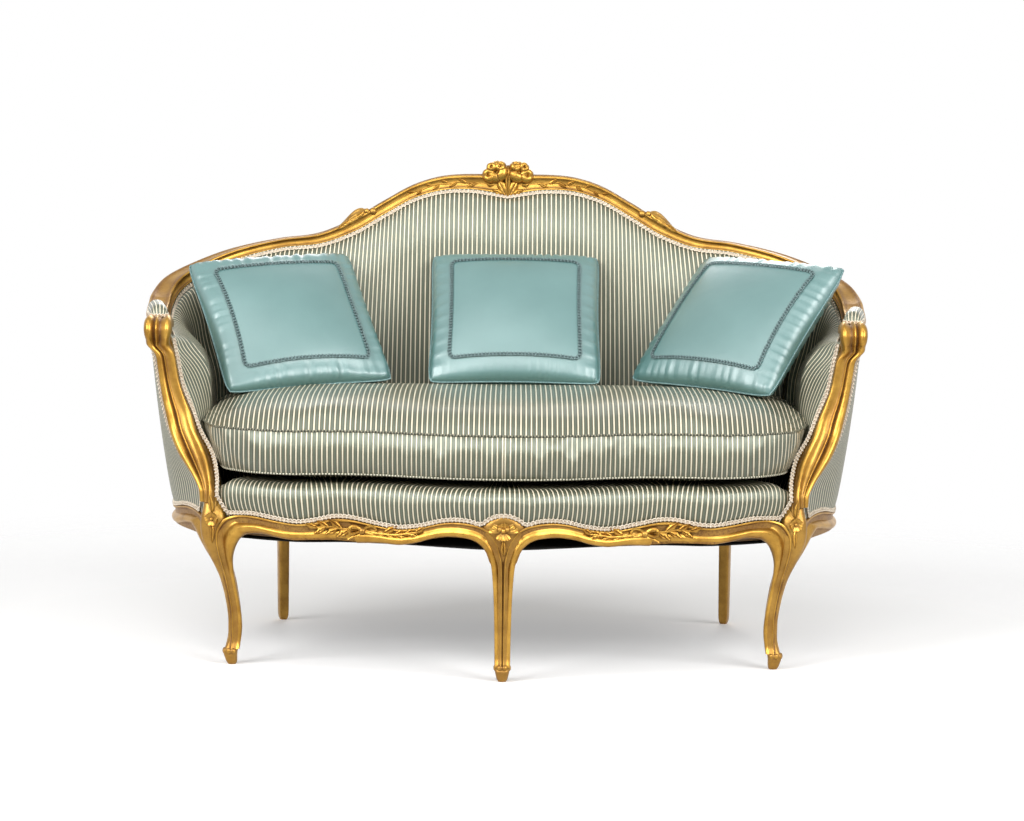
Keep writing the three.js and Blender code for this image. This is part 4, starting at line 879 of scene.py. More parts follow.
def camera():
    data = bpy.data.cameras.new("camera")
    data.sensor_width = SENSOR
    data.lens = FOCAL_SHARE * SENSOR
    data.clip_start, data.clip_end = 0.1, 60
    thing = linked("camera", data)
    thing.matrix_world = Matrix.Translation(CAMERA_SPOT) @ turned(CAMERA_PITCH, "X") @ turned(CAMERA_ROLL, "Z")
    bpy.context.scene.camera = thing


def lamps():
    for name, (spot, height, size, power) in LAMPS.items():
        data = bpy.data.lights.new(name, "AREA")
        data.shape = "RECTANGLE"
        data.size, data.size_y = size
        data.energy = power
        aim = (Vector((0, 0, height)) - Vector(spot)).to_track_quat("-Z", "Y")
        linked(name, data).matrix_world = Matrix.Translation(spot) @ aim.to_matrix().to_4x4()


def seen_by(tree):
    """1 for the rays that see or mirror the surroundings."""
    path = add(tree, "LightPath").outputs
    seen = calc(tree, "MAXIMUM", path["Is Camera Ray"], path["Is Glossy Ray"])
    return calc(tree, "MAXIMUM", seen, path["Is Transmission Ray"])


def world():
    """White where it is seen or mirrored, and a plain dimmer light elsewhere."""
    scene_world = bpy.data.worlds.new("studio")
    bpy.context.scene.world = scene_world
    scene_world.use_nodes = True
    tree = scene_world.node_tree
    strength = calc(tree, "MULTIPLY_ADD", seen_by(tree), 1 - WORLD_FILL, WORLD_FILL)
    ground = next(n for n in tree.nodes if n.type == "BACKGROUND")
    fill(ground, Color=(1, 1, 1, 1), Strength=strength)


def floor():
    """A pale round floor that keeps the shadow and fades to white away from the settee."""
    material, tree, shader = nodes_of("floor")
    seen = seen_by(tree)
    colour = mix(tree, seen, FLOOR_BOUNCE, FLOOR_COLOUR)
    fill(shader, Base_Color=colour, Roughness=0.9, Specular_IOR_Level=0.1)
    glow = add(tree, "Emission", Strength=calc(tree, "MULTIPLY", seen, FLOOR_GLOW))
    lit = add(tree, "AddShader")
    by_number(tree, lit, {0: shader.outputs[0], 1: glow.outputs[0]})
    far = add(tree, "VectorMath", operation="LENGTH")
    by_number(tree, far, {0: add(tree, "TexCoord").outputs["Object"]})
    blend = add(tree, "MixShader", Fac=share_of(tree, far.outputs["Value"], *FLOOR_FADE))
    by_number(tree, blend, {1: lit.outputs[0], 2: add(tree, "BsdfTransparent").outputs[0]})
    fill(next(n for n in tree.nodes if n.type == "OUTPUT_MATERIAL"), Surface=blend.outputs[0])
    angle = np.linspace(0, 2 * np.pi, 96, endpoint=False)
    points = xyz(FLOOR_REACH * np.cos(angle), FLOOR_REACH * np.sin(angle), 0)
    mesh_piece("floor", points, [range(96)], material=material)


# The giltwood frame


def top_rail(first, last):
    """The moulded rail along the wall between two places."""
    place = np.linspace(first, last, 280)[:, None]
    depth, drop, painted_shade = (row[:-1] for row in round_profile(TOP_RAIL_SECTION + TOP_RAIL_SECTION[:1]))
    height = rail_top(place) - drop * rail_thickness(place)
    return solid(wall_point(place, depth * TOP_RAIL_DEPTH - TOP_RAIL_PROUD, height), painted_shade)


def corner_line(height):
    """Middle and half width of a corner leg at a height."""
    reach = CORNER_KNEE_OUT * curve(CORNER_LEG_SHARES, height / CORNER_LEG_HEIGHT) * math.sqrt(0.5)
    return CORNER_FOOT.x + reach, CORNER_FOOT.y - reach + SHIFT, curve(CORNER_CORE, height)


def centre_line(height):
    """Middle and half depth of the centre leg at a height."""
    out, deep = np.moveaxis(along(CENTRE_LEG_SHARES, height / CENTRE_LEG_HEIGHT), -1, 0)
    return SHIFT + CENTRE_FOOT_Y - CENTRE_KNEE_OUT * out, CENTRE_HALF_DEPTH * deep


def front_face(x, z):
    """Foremost depth of the front moulding's bed: the rail's plan, and the legs' faces below it."""
    _, corner_y, corner_half = corner_line(z)
    middle, deep = centre_line(z)
    leg = np.where(np.abs(x) < FRONT_HALF_WIDTH / 2, middle - deep, corner_y - corner_half - BAND_RISE)
    joined = smoothstep(0.19, 0.272, z) * (1 - 0.75 * smoothstep(0.485, 0.545, np.abs(x)))
    return lerp(leg, front_plan(np.minimum(np.abs(x), 0.555)), joined)


def front_moulding():
    upper, lower = spline(FRONT_UPPER_EDGE, 460), spline(FRONT_LOWER_EDGE, 460)
    on_leg = 1 - smoothstep(0.20, 0.268, lower[:, 1])
    first = xyz(upper[:, 0], front_face(*upper.T) + 0.002 + 0.001 * on_leg, upper[:, 1])
    second = xyz(lower[:, 0], front_face(*lower.T) + 0.004 + 0.006 * on_leg, lower[:, 1])
    lean = np.where(lower[:, 0] < FRONT_HALF_WIDTH / 2, 0.30, -0.22) * on_leg
    across, heights, painted_shade = round_profile(RAIL_BAND)
    return band(first, second, xyz(lean, -1, 0), across, heights * (1 + 0.75 * on_leg[:, None]), painted_shade)


def side_moulding():
    """From the corner leg's outer face up into the side rail and back along it to the rear leg."""
    z = np.array([0.031, 0.060, 0.1078, 0.1743, 0.2283, 0.2580])
    x = np.array([0.5292, 0.5282, 0.5297, 0.5412, 0.5537, 0.5590])
    groove = xyz(x, front_face(x, z) + 0.003, z)
    shoulder = [(0.5665, float(front_face(0.5665, 0.283)) + 0.012, 0.2815)]
    z = np.array([0.031, 0.060, 0.1078, 0.160, 0.205])
    x, y, half = corner_line(z)
    rear = xyz(x + 0.85 * half, y + 0.55 * half, z)
    shared = [1.5, 1.35, 1.15, 1.0, 0.85, 0.7, 0.6, 0.53, 0.475]
    place = np.array([1.90, 1.80, 1.68, *shared])
    top = wall_point(place, 0.001, WALL_FOOT, side_rail_top(place))
    place = np.array([1.76, 1.66, *shared])
    low = wall_point(place, 0.003, WALL_FOOT, SIDE_RAIL_BOTTOM + 0.012 * smoothstep(1.3, 1.7, place))
    first, second = spline(np.vstack([groove, shoulder, top]), 320), spline(np.vstack([rear, low]), 320)
    ahead = np.gradient((first + second) / 2, axis=0)
    flat = unit(xyz(-ahead[:, 1], ahead[:, 0], 0))
    flat = np.where(flat[:, :1] < 0, -flat, flat)
    weight = smoothstep(0.20, 0.275, second[:, 2])[:, None]
    outward = unit(lerp(np.array([0.9, -0.45, 0.0]), flat, weight))
    across, shape, painted_shade = round_profile(RAIL_BAND)
    return band(first, second, outward, across, shape * (1 + 0.5 * (1 - weight)), painted_shade)


def wall_band(places):
    """Moulded seat rail under the wall."""
    first = wall_point(places, 0.001, WALL_FOOT, side_rail_top(places))
    second = wall_point(places, 0.003, WALL_FOOT, SIDE_RAIL_BOTTOM)
    return band(first, second, wall_outward(places, WALL_FOOT), *round_profile(RAIL_BAND))


def wall_core(places):
    """Wood behind the moulding under the wall."""
    low, top = SIDE_RAIL_BOTTOM + 0.001, side_rail_top(places) - 0.001
    levels = ((0.003, low), (0.003, top), (0.010, top), (0.011, 0.279), (0.029, 0.279), (0.029, low))
    rows = [wall_point(places, inset, WALL_FOOT, level) for inset, level in levels]
    # The wood behind the moulding gets an even painted shade
    return solid(np.stack(rows, 1), 0.6)


def front_core():
    """Wood behind the front moulding."""
    x = np.linspace(0.02, 0.55, 90)
    top = np.interp(x, *np.array(FRONT_UPPER_EDGE[5:22]).T) - 0.002
    low = np.interp(x, *np.array(FRONT_LOWER_EDGE[4:22]).T) + 0.001
    levels = ((0.004, low), (0.004, top), (0.010, top), (0.012, 0.279), (0.029, 0.279), (0.029, low))
    # The wood behind the moulding gets an even painted shade
    return solid(np.stack([front_point(x, inset, level) for inset, level in levels], 1), 0.6)


def levels_of(*spans):
    return np.concatenate([np.linspace(*span) for span in spans])[:, None]


def rounded_end(z):
    return lerp(0.78, 1, np.clip(z / 0.006, 0, 1) ** 0.5)


def corner_core():
    z = levels_of((0, 0.05, 16), (0.055, 0.342, 60))
    x, y, half = corner_line(z)
    half = half * rounded_end(z)
    wide, deep = rounded_square(3.0)
    x, y = x + 0.006 * smoothstep(0.30, 0.34, z), y + 0.006 * smoothstep(0.29, 0.34, z)
    # The core between the leg's bands gets an even painted shade
    return solid(xyz(x + half * wide, y + half * lerp(1, 0.9, smoothstep(0.22, 0.27, z)) * deep, z), 0.35)


def centre_core():
    z = levels_of((0, 0.05, 16), (0.055, 0.295, 50), (0.297, 0.3168, 14))
    middle, depth = centre_line(z)
    wide, deep = rounded_square(3.4)
    x = curve(CENTRE_CORE, z) * rounded_end(z) * wide
    # The core between the leg's bands gets an even painted shade
    return solid(xyz(x, middle + (depth - 0.005 * smoothstep(0.018, 0.028, z)) * deep, z), 0.4)


def rear_leg():
    head = float(rail_bottom(STILE_PLACE) + 0.5 * rail_thickness(STILE_PLACE))
    z = levels_of((0, 0.02, 6), (0.03, head, 60))
    foot = wall_point(STILE_PLACE, STILE_INSET, WALL_FOOT)
    drop = np.clip(1 - z / WALL_FOOT, 0, 1) ** 1.6
    taper = (1 - 0.12 * drop) * (1 - 0.35 * np.exp(-z / 0.006))
    wide, deep = rounded_square(5.0, 28)
    place = STILE_PLACE + wide * STILE_HALF_SHARE * taper
    inset = STILE_INSET + deep * REAR_HALF_DEPTH * taper
    points = wall_point(place, inset, np.maximum(z, WALL_FOOT), z)
    reach = np.array([REAR_FOOT.x - foot[0], REAR_FOOT.y + SHIFT - foot[1], 0])
    # The rear leg gets a light even painted shade
    return solid(points + reach * drop[..., None], 0.2)


def support_moulding():
    """Over the front of the arm, round its scroll and down to the foot."""
    scroll = np.array(SCROLL_LINE)
    z = np.array([0.600, 0.575, 0.545, 0.515, 0.485, 0.455, 0.43, 0.405, 0.385, 0.365, 0.345, 0.322])
    _, _, wide, deep = support_at(z)
    turn = support_turn(z)
    head = xyz(SUPPORT_TOP.x, scroll[:, 0] + SHIFT, scroll[:, 1])
    centre = np.vstack([head, support_point(z, 0, -deep)])
    half = np.concatenate([scroll[:, 2], wide])
    level = np.vstack([0 * head + [1, 0, 0], xyz(np.cos(turn), np.sin(turn), 0)])
    run = lengths(centre)
    even = np.linspace(0, run[-1], 260)
    rough = along(np.column_stack([run, centre, half, level]), even)
    centre, half, level = rough[:, :3], rough[:, 3:4], unit(rough[:, 4:])
    outward = unit(np.cross(unit(np.gradient(centre, axis=0)), level))
    across, *down = round_profile(SUPPORT_BAND)
    _, *over = round_profile(SCROLL_BAND)
    past = smoothstep(0.105, 0.165, even)[:, None]
    shape, painted_shade = (lerp(a, b, past) for a, b in zip(over, down))
    return band(centre + level * half, centre - level * half, outward, across, shape, painted_shade)


def support_core():
    z = np.linspace(0.300, 0.640, 70)[:, None]
    _, _, wide, deep = support_at(z)
    side, back = rounded_square(4, 28)
    # The core behind the support's bands gets an even painted shade
    return solid(support_point(z, wide * 0.95 * side, deep * (0.60 * back + 0.30)), 0.4)


# Carving


def crest_ornament():
    """Two ruffled flower heads over a stem with two veined leaves."""
    y = float(wall_point(0.0, TOP_RAIL_DEPTH - TOP_RAIL_PROUD, CREST_HEIGHT)[1])
    parts = []
    for side in (-1, 1):
        for radius, petals, depth, start, spot, lean in (
            (0.0245, 3, 0.0135, 0.9 + side * 0.3, (0, 0, 0), 0.2),
            (0.0165, 2, 0.0120, 0.5 * side, (0.0170, -0.0015, -0.0080), 0.7),
            (0.0130, 3, 0.0110, 0.2, (-0.0070, -0.0035, 0.0105), 0),
            (0.0120, 2, 0.0100, 1.2, (0.0110, -0.0035, 0.0095), 0.6),
        ):
            head = (side * (0.0225 + spot[0]), y - 0.001 + spot[1], 0.9560 + spot[2])
            bloom = rosette(radius, petals, depth, start)
            parts.append(placed(bloom, head, (side * lean, 0, 1), (side * 0.22, -1, 0.25)))
        body = leaf(0.040, 0.022, 0.0070, 0.005, lobes=3)
        parts.append(placed(body, (side * 0.002, y - 0.003, 0.9050), (side * 0.50, 0, 1), (side * 0.3, -1, 0)))
        vine = leaf(0.028, 0.014, 0.0050, 0.003, lobes=2)
        parts.append(placed(vine, (side * 0.008, y - 0.003, 0.908), (side, 0, 0.40), (side * 0.2, -1, 0)))
        curl = ((0.030, 0.9300), (0.038, 0.9285), (0.043, 0.9325), (0.040, 0.9375), (0.035, 0.9350))
        line = spline([(side * x, y - 0.004, z) for x, z in curl], 16)
        parts.append(tube(line, np.linspace(0.0022, 0.0030, 16), 7))
        x = side * 0.0022
        stem = [(x * 0.4, y - 0.005, 0.906), (x, y - 0.008, 0.925), (x * 1.6, y - 0.009, 0.948)]
        parts.append(tube(spline(stem, 8), np.linspace(0.0018, 0.0026, 8), 7))
    for side in (-1, 0, 1):
        spot = (side * 0.020, y + 0.006, 0.948 + 0.004 * (side == 0))
        parts.append(placed(bump(0.019, 0.8), spot, (0, 0, 1), (0, -1, 0.1)))
    return parts


def rail_spot(place, drop, out=0.0):
    """A point on the cove of the top rail: place along it and share of its height down."""
    height = rail_top(place) - drop * rail_thickness(place)
    return Vector(wall_point(place, 0.905 * TOP_RAIL_DEPTH - TOP_RAIL_PROUD + out, height))


def tendrils():
    """Low leafy scrolls on the cove of the crest rail, on both sides of the ornament."""
    parts = []
    for index, place in enumerate(np.linspace(0.048, 0.150, 8)):
        wave = 0.54 + 0.06 * math.sin(2.2 * index)
        way = 1 if index % 2 else -1
        spot = rail_spot(place, wave)
        up = (rail_spot(place + 0.01, wave) - spot).normalized() + Vector((0, 0, 0.55 * way))
        size = 0.0235 - 0.0012 * index
        parts.append(placed(leaf(size, 0.42 * size, 0.0036, 0.0022), spot, up, (0, -1, 0.1)))
        parts.append(placed(bump(0.0024), rail_spot(place + 0.006, wave - 0.12 * way), up, (0, -1, 0)))
    vine = [rail_spot(t, 0.54 + 0.05 * math.sin(150 * t), 0.001) for t in np.linspace(0.045, 0.165, 30)]
    return parts + [tube(vine, np.linspace(0.0017, 0.0009, 30), 6)]


def shoulder_leaves():
    """A leaf that climbs the rail's shoulder and curls over a bead."""
    first, last = 0.305, 0.228
    run, side = np.linspace(0, 1, 48)[:, None], np.linspace(-1, 1, 19)
    place = lerp(first, last, run)
    rise = 0.0160 * np.sin(np.pi * run**1.7) ** 1.2 + 0.0045 * (1 - (2 * run - 1) ** 2)
    half = 0.0185 * (0.30 + 0.70 * np.sin(np.pi * np.clip(run, 0, 1)) ** 0.6)
    ribs = 1 + 0.10 * np.cos(np.pi * 5 * side) * np.sin(np.pi * run)
    height = rail_top(place) - 0.0045 + rise * ribs * np.clip(1 - side**2, 0, 1) ** 0.55
    # Painted shade in the grooves between the leaf's ribs
    painted_shade = 0.55 * (0.5 - 0.5 * np.cos(np.pi * 5 * side)) * np.sin(np.pi * run) + 0.1
    parts = [grid(wall_point(place, 0.62 * TOP_RAIL_DEPTH + half * side, height), values=painted_shade)]
    for place, size, lift, deep in ((0.2225, 0.0080, -0.0080, 0.90), (0.2360, 0.0066, 0.0010, 0.86)):
        spot = wall_point(place, deep * TOP_RAIL_DEPTH, rail_top(place) + lift)
        parts.append(placed(bump(size, 0.9), spot, (0, 0, 1), (0, -1, 0.6)))
    for share, size, drop in ((0.16, 0.034, 0.006), (0.40, 0.032, 0.004), (0.62, 0.024, 0.001)):
        at = lerp(first, last, share)
        spot = wall_point(at, 0.95 * TOP_RAIL_DEPTH, rail_top(at) - drop)
        ahead = wall_point(at - 0.03, 0.95 * TOP_RAIL_DEPTH, rail_top(at - 0.03) + 0.008 - drop) - spot
        parts.append(placed(leaf(size, 0.014, 0.0055, 0.002), spot, ahead, (0.1, -1, 0.5)))
    return parts


def front_spot(x, share, out=0.001):
    """A point on the front rail between the upper and lower edges of its moulding."""
    top = np.interp(x, *np.array(FRONT_UPPER_EDGE[7:22]).T)
    low = np.interp(x, *np.array(FRONT_LOWER_EDGE[6:22]).T)
    return Vector(front_point(x, -out, lerp(top, low, share)))


def front_branches():
    """Leafy branches tied with a ribbon on the front rail."""
    parts = []
    knot = 0.268
    sway = lambda part: 0.36 + 0.07 * math.sin(5 * part)
    for way, reach, pairs in ((-1, 0.106, 4), (1, 0.090, 3)):
        for index in range(pairs):
            part = (index + 0.5) / pairs
            x = knot + way * reach * (0.14 + 0.76 * part)
            start = front_spot(x, sway(part))
            ahead = (front_spot(x + way * 0.01, sway(part)) - start).normalized()
            size = 0.0310 - 0.007 * part
            for side in (-1, 1):
                up = ahead + Vector((0, 0, side * (0.66 - 0.25 * part)))
                body = leaf(size, size * 0.50, 0.0070, 0.0045, lobes=2)
                parts.append(placed(body, start + ahead * 0.008 * (side + 1), up, (0, -1, side * 0.25)))
        line = [front_spot(knot + way * reach * t, sway(t), 0.003) for t in np.linspace(0, 1, 16)]
        parts.append(tube(line, np.linspace(0.0028, 0.0014, 16), 6))
    centre = front_spot(knot, 0.42)
    bow = [(0, 0), (0.010, 0.008), (0.021, 0.009), (0.026, 0.001), (0.019, -0.005), (0.008, -0.002), (0, 0)]
    tail = [(0, 0), (0.007, -0.008), (0.018, -0.011), (0.027, -0.016)]
    for side in (-1, 1):
        loop = [centre + Vector((side * x, -0.004 - 0.10 * x, z)) for x, z in bow]
        parts.append(tube(spline(loop, 30), 0.0030, 7))
        line = [centre + Vector((side * x, -0.003, z)) for x, z in tail]
        parts.append(tube(spline(line, 16), np.linspace(0.0030, 0.0016, 16), 7))
    parts.append(placed(bump(0.0072, 0.9), centre + Vector((0, -0.004, 0)), (0, 0, 1), (0, -1, 0)))
    return parts


def corner_flower():
    """A five-petalled flower at the foot of an arm support, with leaves above and below."""
    out = (0.25, -1, 0)
    centre = Vector((0.5605, float(front_face(0.5600, 0.288)) - 0.0005, 0.2905))
    radius, petals, thickness = 0.0135, 5, 0.0055
    body = petal(radius, 2.3 * radius * math.sin(math.pi / petals) * 1.15, thickness, 0.002)
    spins = [np.array(Matrix.Rotation(math.pi + 2 * math.pi * i / petals, 3, "Z")) for i in range(petals)]
    bloom = [(body[0] @ spin.T, *body[1:]) for spin in spins]
    heart = bump(radius * 0.3)
    bloom.append((heart[0] + [0, 0, thickness * 0.5], *heart[1:]))
    parts = [placed(part, centre, (0, 0, 1), out) for part in bloom]
    for size, width, thick, curl, spot, up in (
        (0.034, 0.012, 0.005, 0.002, (0, 0.004, 0.012), (0.03, 0.25, 1)),
        (0.030, 0.011, 0.0045, 0.002, (0.002, 0.012, 0.040), (0.25, 0.05, 1)),
        (0.036, 0.011, 0.005, 0.001, (0, 0.002, -0.010), (-0.02, 0, -1)),
    ):
        parts.append(placed(leaf(size, width, thick, curl), centre + Vector(spot), up, out))
    return parts


def centre_flower():
    """A shell-like flower on the centre leg with a leaf in the fork below it."""
    y = float(front_plan(0.0)) - 0.0055
    petals = (
        (-1.45, 0.031), (-1.05, 0.026), (1.05, 0.026), (1.45, 0.031), (-0.5, 0.017), (0.5, 0.017),
        (0, 0.018), (2.5, 0.020), (-2.5, 0.020), (math.pi, 0.018),
    )
    parts = []
    for angle, length in petals:
        up = (math.sin(angle), 0, math.cos(angle))
        parts.append(placed(petal(length, 0.0155, 0.006, 0.003), (0, y, 0.2905), up, (0, -1, 0.1)))
    for dx, dz in ((0, 0.003), (-0.007, 0.006), (0.007, 0.006)):
        parts.append(placed(bump(0.0052), (dx, y - 0.004, 0.290 + dz), (0, 0, 1), (0, -1, 0)))
    parts.append(placed(leaf(0.030, 0.012, 0.006, 0.002), (0, y + 0.002, 0.246), (0, 0, 1), (0, -1, 0)))
    return parts


def toes(x, y, half, angles):
    """Small scrolls where the bands of a leg end over its block."""
    parts = []
    for angle in angles:
        out = Vector((math.sin(angle), -math.cos(angle), 0))
        spot = Vector((x, y, 0.0262)) + out * (half - 0.0008)
        parts.append(placed(bump(0.0066, 0.62), spot, (0, 0, 1), out))
    return parts


def build_frame_wood():
    crest = [top_rail(-CREST_JOINT_PLACE, CREST_JOINT_PLACE), *crest_ornament(), *both(tendrils() + shoulder_leaves())]
    corner_toes = toes(*(float(v) for v in corner_line(np.array(0.0285))), (-0.50, 0.25, 0.95, 1.60))
    centre_toes = toes(0, CENTRE_FOOT_Y + SHIFT - 0.004, 0.0140, (-1.2, -0.42, 0.42, 1.2))
    rear_places = np.linspace(-0.44, 0.44, 120)
    for node, parts in (
        ("crest_rail", crest),
        ("SIDE_arm_rail", [top_rail(CREST_JOINT_PLACE + 0.0005, 1.93)]),
        ("SIDE_arm_support", [support_moulding(), support_core()]),
        ("front_SIDE_leg", [corner_core(), *corner_flower(), *corner_toes]),
        ("front_centre_leg", [centre_core(), *centre_flower(), *centre_toes]),
        ("front_SIDE_seat_rail", [front_moulding(), front_core(), *front_branches()]),
        ("SIDE_seat_rail", [side_moulding(), wall_core(np.linspace(0.47, 1.9, 100))]),
        ("rear_seat_rail", [wall_band(rear_places), wall_core(rear_places)]),
        ("rear_SIDE_leg", [rear_leg()]),
    ):
        build(f"{node}_carved", parts, GILT, [node], 40)


# Upholstery on the frame


def stuffed(drop, full, strip=0.0085, rise=0.105):
    """Thickness of a pad at a distance below the rail: a flat strip for the gimp, then a full roll."""
    return np.sqrt(np.sin(np.pi / 2 * np.clip((drop - strip) / rise, 0, 1))) * full


def end_share(across):
    """Fullness of a pad at a share of its length from an end, 1 in the middle."""
    return np.sin(np.pi / 2 * np.clip(across / 0.16, 0, 1))


def arm_nose(place, height):
    """Extra fullness by which the inner face of an arm stands upright beside the cushion."""
    plain = wall_point(np.abs(place), PAD_INSET + ARM_PAD, height)[..., 0]
    return np.clip(plain - ARM_FACE, 0, None) * smoothstep(0.80, 1.35, np.abs(place))


def wall_uv(points, start):
    """Run of each row of a wall grid, from a column."""
    run = lengths(points.transpose(1, 0, 2)).T
    return xyz(run - run[:, start, None], np.linspace(0, 0.6, len(points))[:, None])


def pad_levels(rows=110):
    return 1 - (1 - np.linspace(0, 1, rows)[:, None]) ** 1.8


def back_pad():
    columns = 280
    place = np.linspace(-SEAM_PLACE, SEAM_PLACE, columns)
    top = rail_bottom(place) + 0.001
    height = lerp(DECK_TOP + 0.002, top, pad_levels())
    across = (place + SEAM_PLACE) / (2 * SEAM_PLACE)
    ends = lerp(0.62, 1.0, np.sqrt(end_share(across) * end_share(1 - across)))
    thick = PAD_EDGE + stuffed(top - height, BACK_PAD - PAD_EDGE) * ends
    points = wall_point(place, PAD_INSET + thick, height)
    return grid(points, wall_uv(points, columns // 2))


def arm_pad():
    columns = 170
    first, last, foot, pinch = SEAM_PLACE + 0.0015, 1.80, 0.322, 0.612
    place = np.linspace(first, last, 60)
    up = pad_levels()
    top = rail_bottom(place) + 0.001
    height = lerp(foot, top, up)
    drop = top - height
    start = lerp(0.62, 1.0, np.sqrt(end_share((place - first) / (last - first))))
    thick = PAD_EDGE + stuffed(drop, ARM_PAD - PAD_EDGE, rise=0.085) * start
    thick = thick + stuffed(drop, 1.0, rise=0.130) * arm_nose(place, height)
    body = wall_point(place, PAD_INSET + thick, height)
    edge_height = lerp(foot, float(rail_bottom(1.97)) - 0.001, up[:, 0])
    _, _, wide, deep = support_at(edge_height)
    edge = support_point(edge_height, 0.001 - wide, 0.10 * deep)
    points = np.stack([spline(np.vstack([row, end]), columns) for row, end in zip(body, edge)])
    level = points[..., 2]
    reach = lengths(points.transpose(1, 0, 2)[::-1]).T[:, ::-1]
    points[..., 0] += 0.006 * np.exp(-((reach / 0.035) ** 2) - (((level - pinch) / 0.022) ** 2))
    uv = wall_uv(points, columns - 1)
    near = np.exp(-(((level - pinch) / 0.055) ** 2))
    extent = 0.22
    back = np.clip(-uv[..., 0] / extent, 0, 1)
    uv[..., 0] = np.where(back < 1, -extent * back ** (1 - 0.52 * near * (1 - back)), uv[..., 0])
    return grid(points, uv)


def outer_panel(first, last, columns):
    place = np.linspace(first, last, columns)
    up = np.linspace(0, 1, 60)[:, None]
    height = lerp(side_rail_top(place) + 0.001, rail_bottom(place) + 0.001, up)
    bulge = 0.0035 * np.sin(np.pi * np.clip(up, 0, 1)) ** 0.5
    points = wall_point(place, PANEL_INSET - bulge, height)
    run = lengths(points[-1])
    return grid(points, xyz(run - run[-1], 0.6 * up))


def front_edge_height(x):
    """Upper edge of the gilt front, with the arch over the flower of the centre leg."""
    table = [(0.0, 0.3150), (0.014, 0.3135), (0.030, 0.3065)] + FRONT_UPPER_EDGE[7:21] + [(0.552, 0.2960)]
    return curve(table, np.abs(x))


def deck_front():
    """Stuffed roll over the front rail and the platform behind it."""
    x = np.linspace(-0.556, 0.556, 320)
    shares = [
        (0, 0.0, 0.0), (1, 0.25, 0.10), (2, 0.8, 0.28), (3, 1.05, 0.48), (4, 1.0, 0.66),
        (5, 0.55, 0.84), (6, -0.4, 0.96), (7, -2.2, 1.0), (8, -8, 1.0), (9, -30, 0.99),
    ]
    out, up = along(shares, np.linspace(0, 9, 60)).T[..., None]
    ends = 1 - smoothstep(0.526, 0.556, np.abs(x))
    inset = DECK_INSET - DECK_ROLL * out * np.where(out > 0, 0.3 + 0.7 * ends, 1)
    height = lerp(front_edge_height(x) - 0.004, DECK_TOP - 0.004 - 0.014 * (1 - ends), up)
    points = front_point(x, inset, height)
    run = lengths(points[0])
    u = (run - run[-1] / 2) * (1 + 0.016 * (1 - np.clip(up, 0, 1)))
    return grid(points, xyz(u, np.linspace(0, 0.4, 60)[:, None]))


def manchette():
    """A small arm pad, and the line round its foot."""
    rows, columns = 44, 26
    first, last = 1.42, 1.925
    place = np.linspace(first, last, rows)[:, None]
    angle = np.linspace(0, np.pi, columns)
    swell = np.sqrt(1 - 0.97 * np.abs(2 * (place - first) / (last - first) - 1) ** 7)
    half = 0.0175 * lerp(0.72, 1.0, swell)
    inset = TOP_RAIL_DEPTH / 2 - TOP_RAIL_PROUD - half * np.cos(angle) * (1 + 0.14 * np.sin(angle))
    height = rail_top(place) - 0.001 + 0.028 * np.sin(angle) ** 0.75 * swell
    points = wall_point(place, inset, height)
    ring = np.vstack([points[:, 0], points[-1, 1:-1:3], points[::-1, -1], points[0, -2:0:-3]])
    ring[:, 2] = rail_top(np.interp(ring[:, 1], points[::-1, 0, 1], place[::-1, 0])) + 0.0035
    return grid(points, xyz(np.linspace(0, 0.078, columns), np.linspace(0, 0.3, rows)[:, None])), ring


def joined_path(pieces, count):
    """One smooth line, with outward directions, through several lines of both."""
    table = np.vstack([np.hstack([line, unit(out)]) for line, out in pieces])
    run = lengths(table[:, :3])
    keep = np.concatenate([[True], np.diff(run) > 1e-6])
    smooth = along(np.column_stack([run, table])[keep], np.linspace(0, run[-1], count))
    return smooth[:, :3], smooth[:, 3:]


def support_edge(heights, sign):
    """Line of gimp along the outer (1) or inner (-1) edge of a support."""
    _, _, wide, deep = support_at(heights)
    c, s = np.cos(support_turn(heights)), np.sin(support_turn(heights))
    line = support_point(heights, sign * (wide + 0.0036), -0.30 * deep)
    return line, xyz(sign * 0.7 * c + s, sign * 0.7 * s - c, 0)


def rail_gimp(first, last):
    """Gimp on the outer panels under the top rail."""
    place = np.linspace(first, last, 420)
    line = wall_point(place, PANEL_INSET - 0.0025, rail_bottom(place) - 0.004)
    return gimp(line, wall_outward(place, 0.5))


def trim():
    """Gimp along the wood's edges, in front and on the sides."""
    place = np.linspace(-1.90, 1.90, 900)
    height = rail_bottom(place) - 0.0036
    line = wall_point(place, PAD_INSET + PAD_EDGE + 0.0018, height)
    parts = gimp(line, wall_point(place, PAD_INSET + PAD_EDGE + 0.02, height + 0.002) - line, width=0.0085)
    x = np.linspace(0.532, 0, 160)
    level = front_edge_height(x) + 0.0046
    rail = front_point(x, 0.0035, level)
    outward = front_point(x, -0.01, level + 0.004) - rail
    half = joined_path([support_edge(np.linspace(0.632, 0.336, 90), -1), (rail, outward)], 500)
    parts += gimp(*(np.vstack([side, side[-2::-1] * [-1, 1, 1]]) for side in half))
    place = np.linspace(1.90, 0.475, 200)
    line = wall_point(place, PANEL_INSET - 0.002, WALL_FOOT, side_rail_top(place) + 0.0046)
    outer = support_edge(np.linspace(0.628, 0.336, 90), 1)
    sides = gimp(*joined_path([outer, (line, wall_outward(place, WALL_FOOT))], 600))
    return parts + both(sides + rail_gimp(0.475, 1.95))


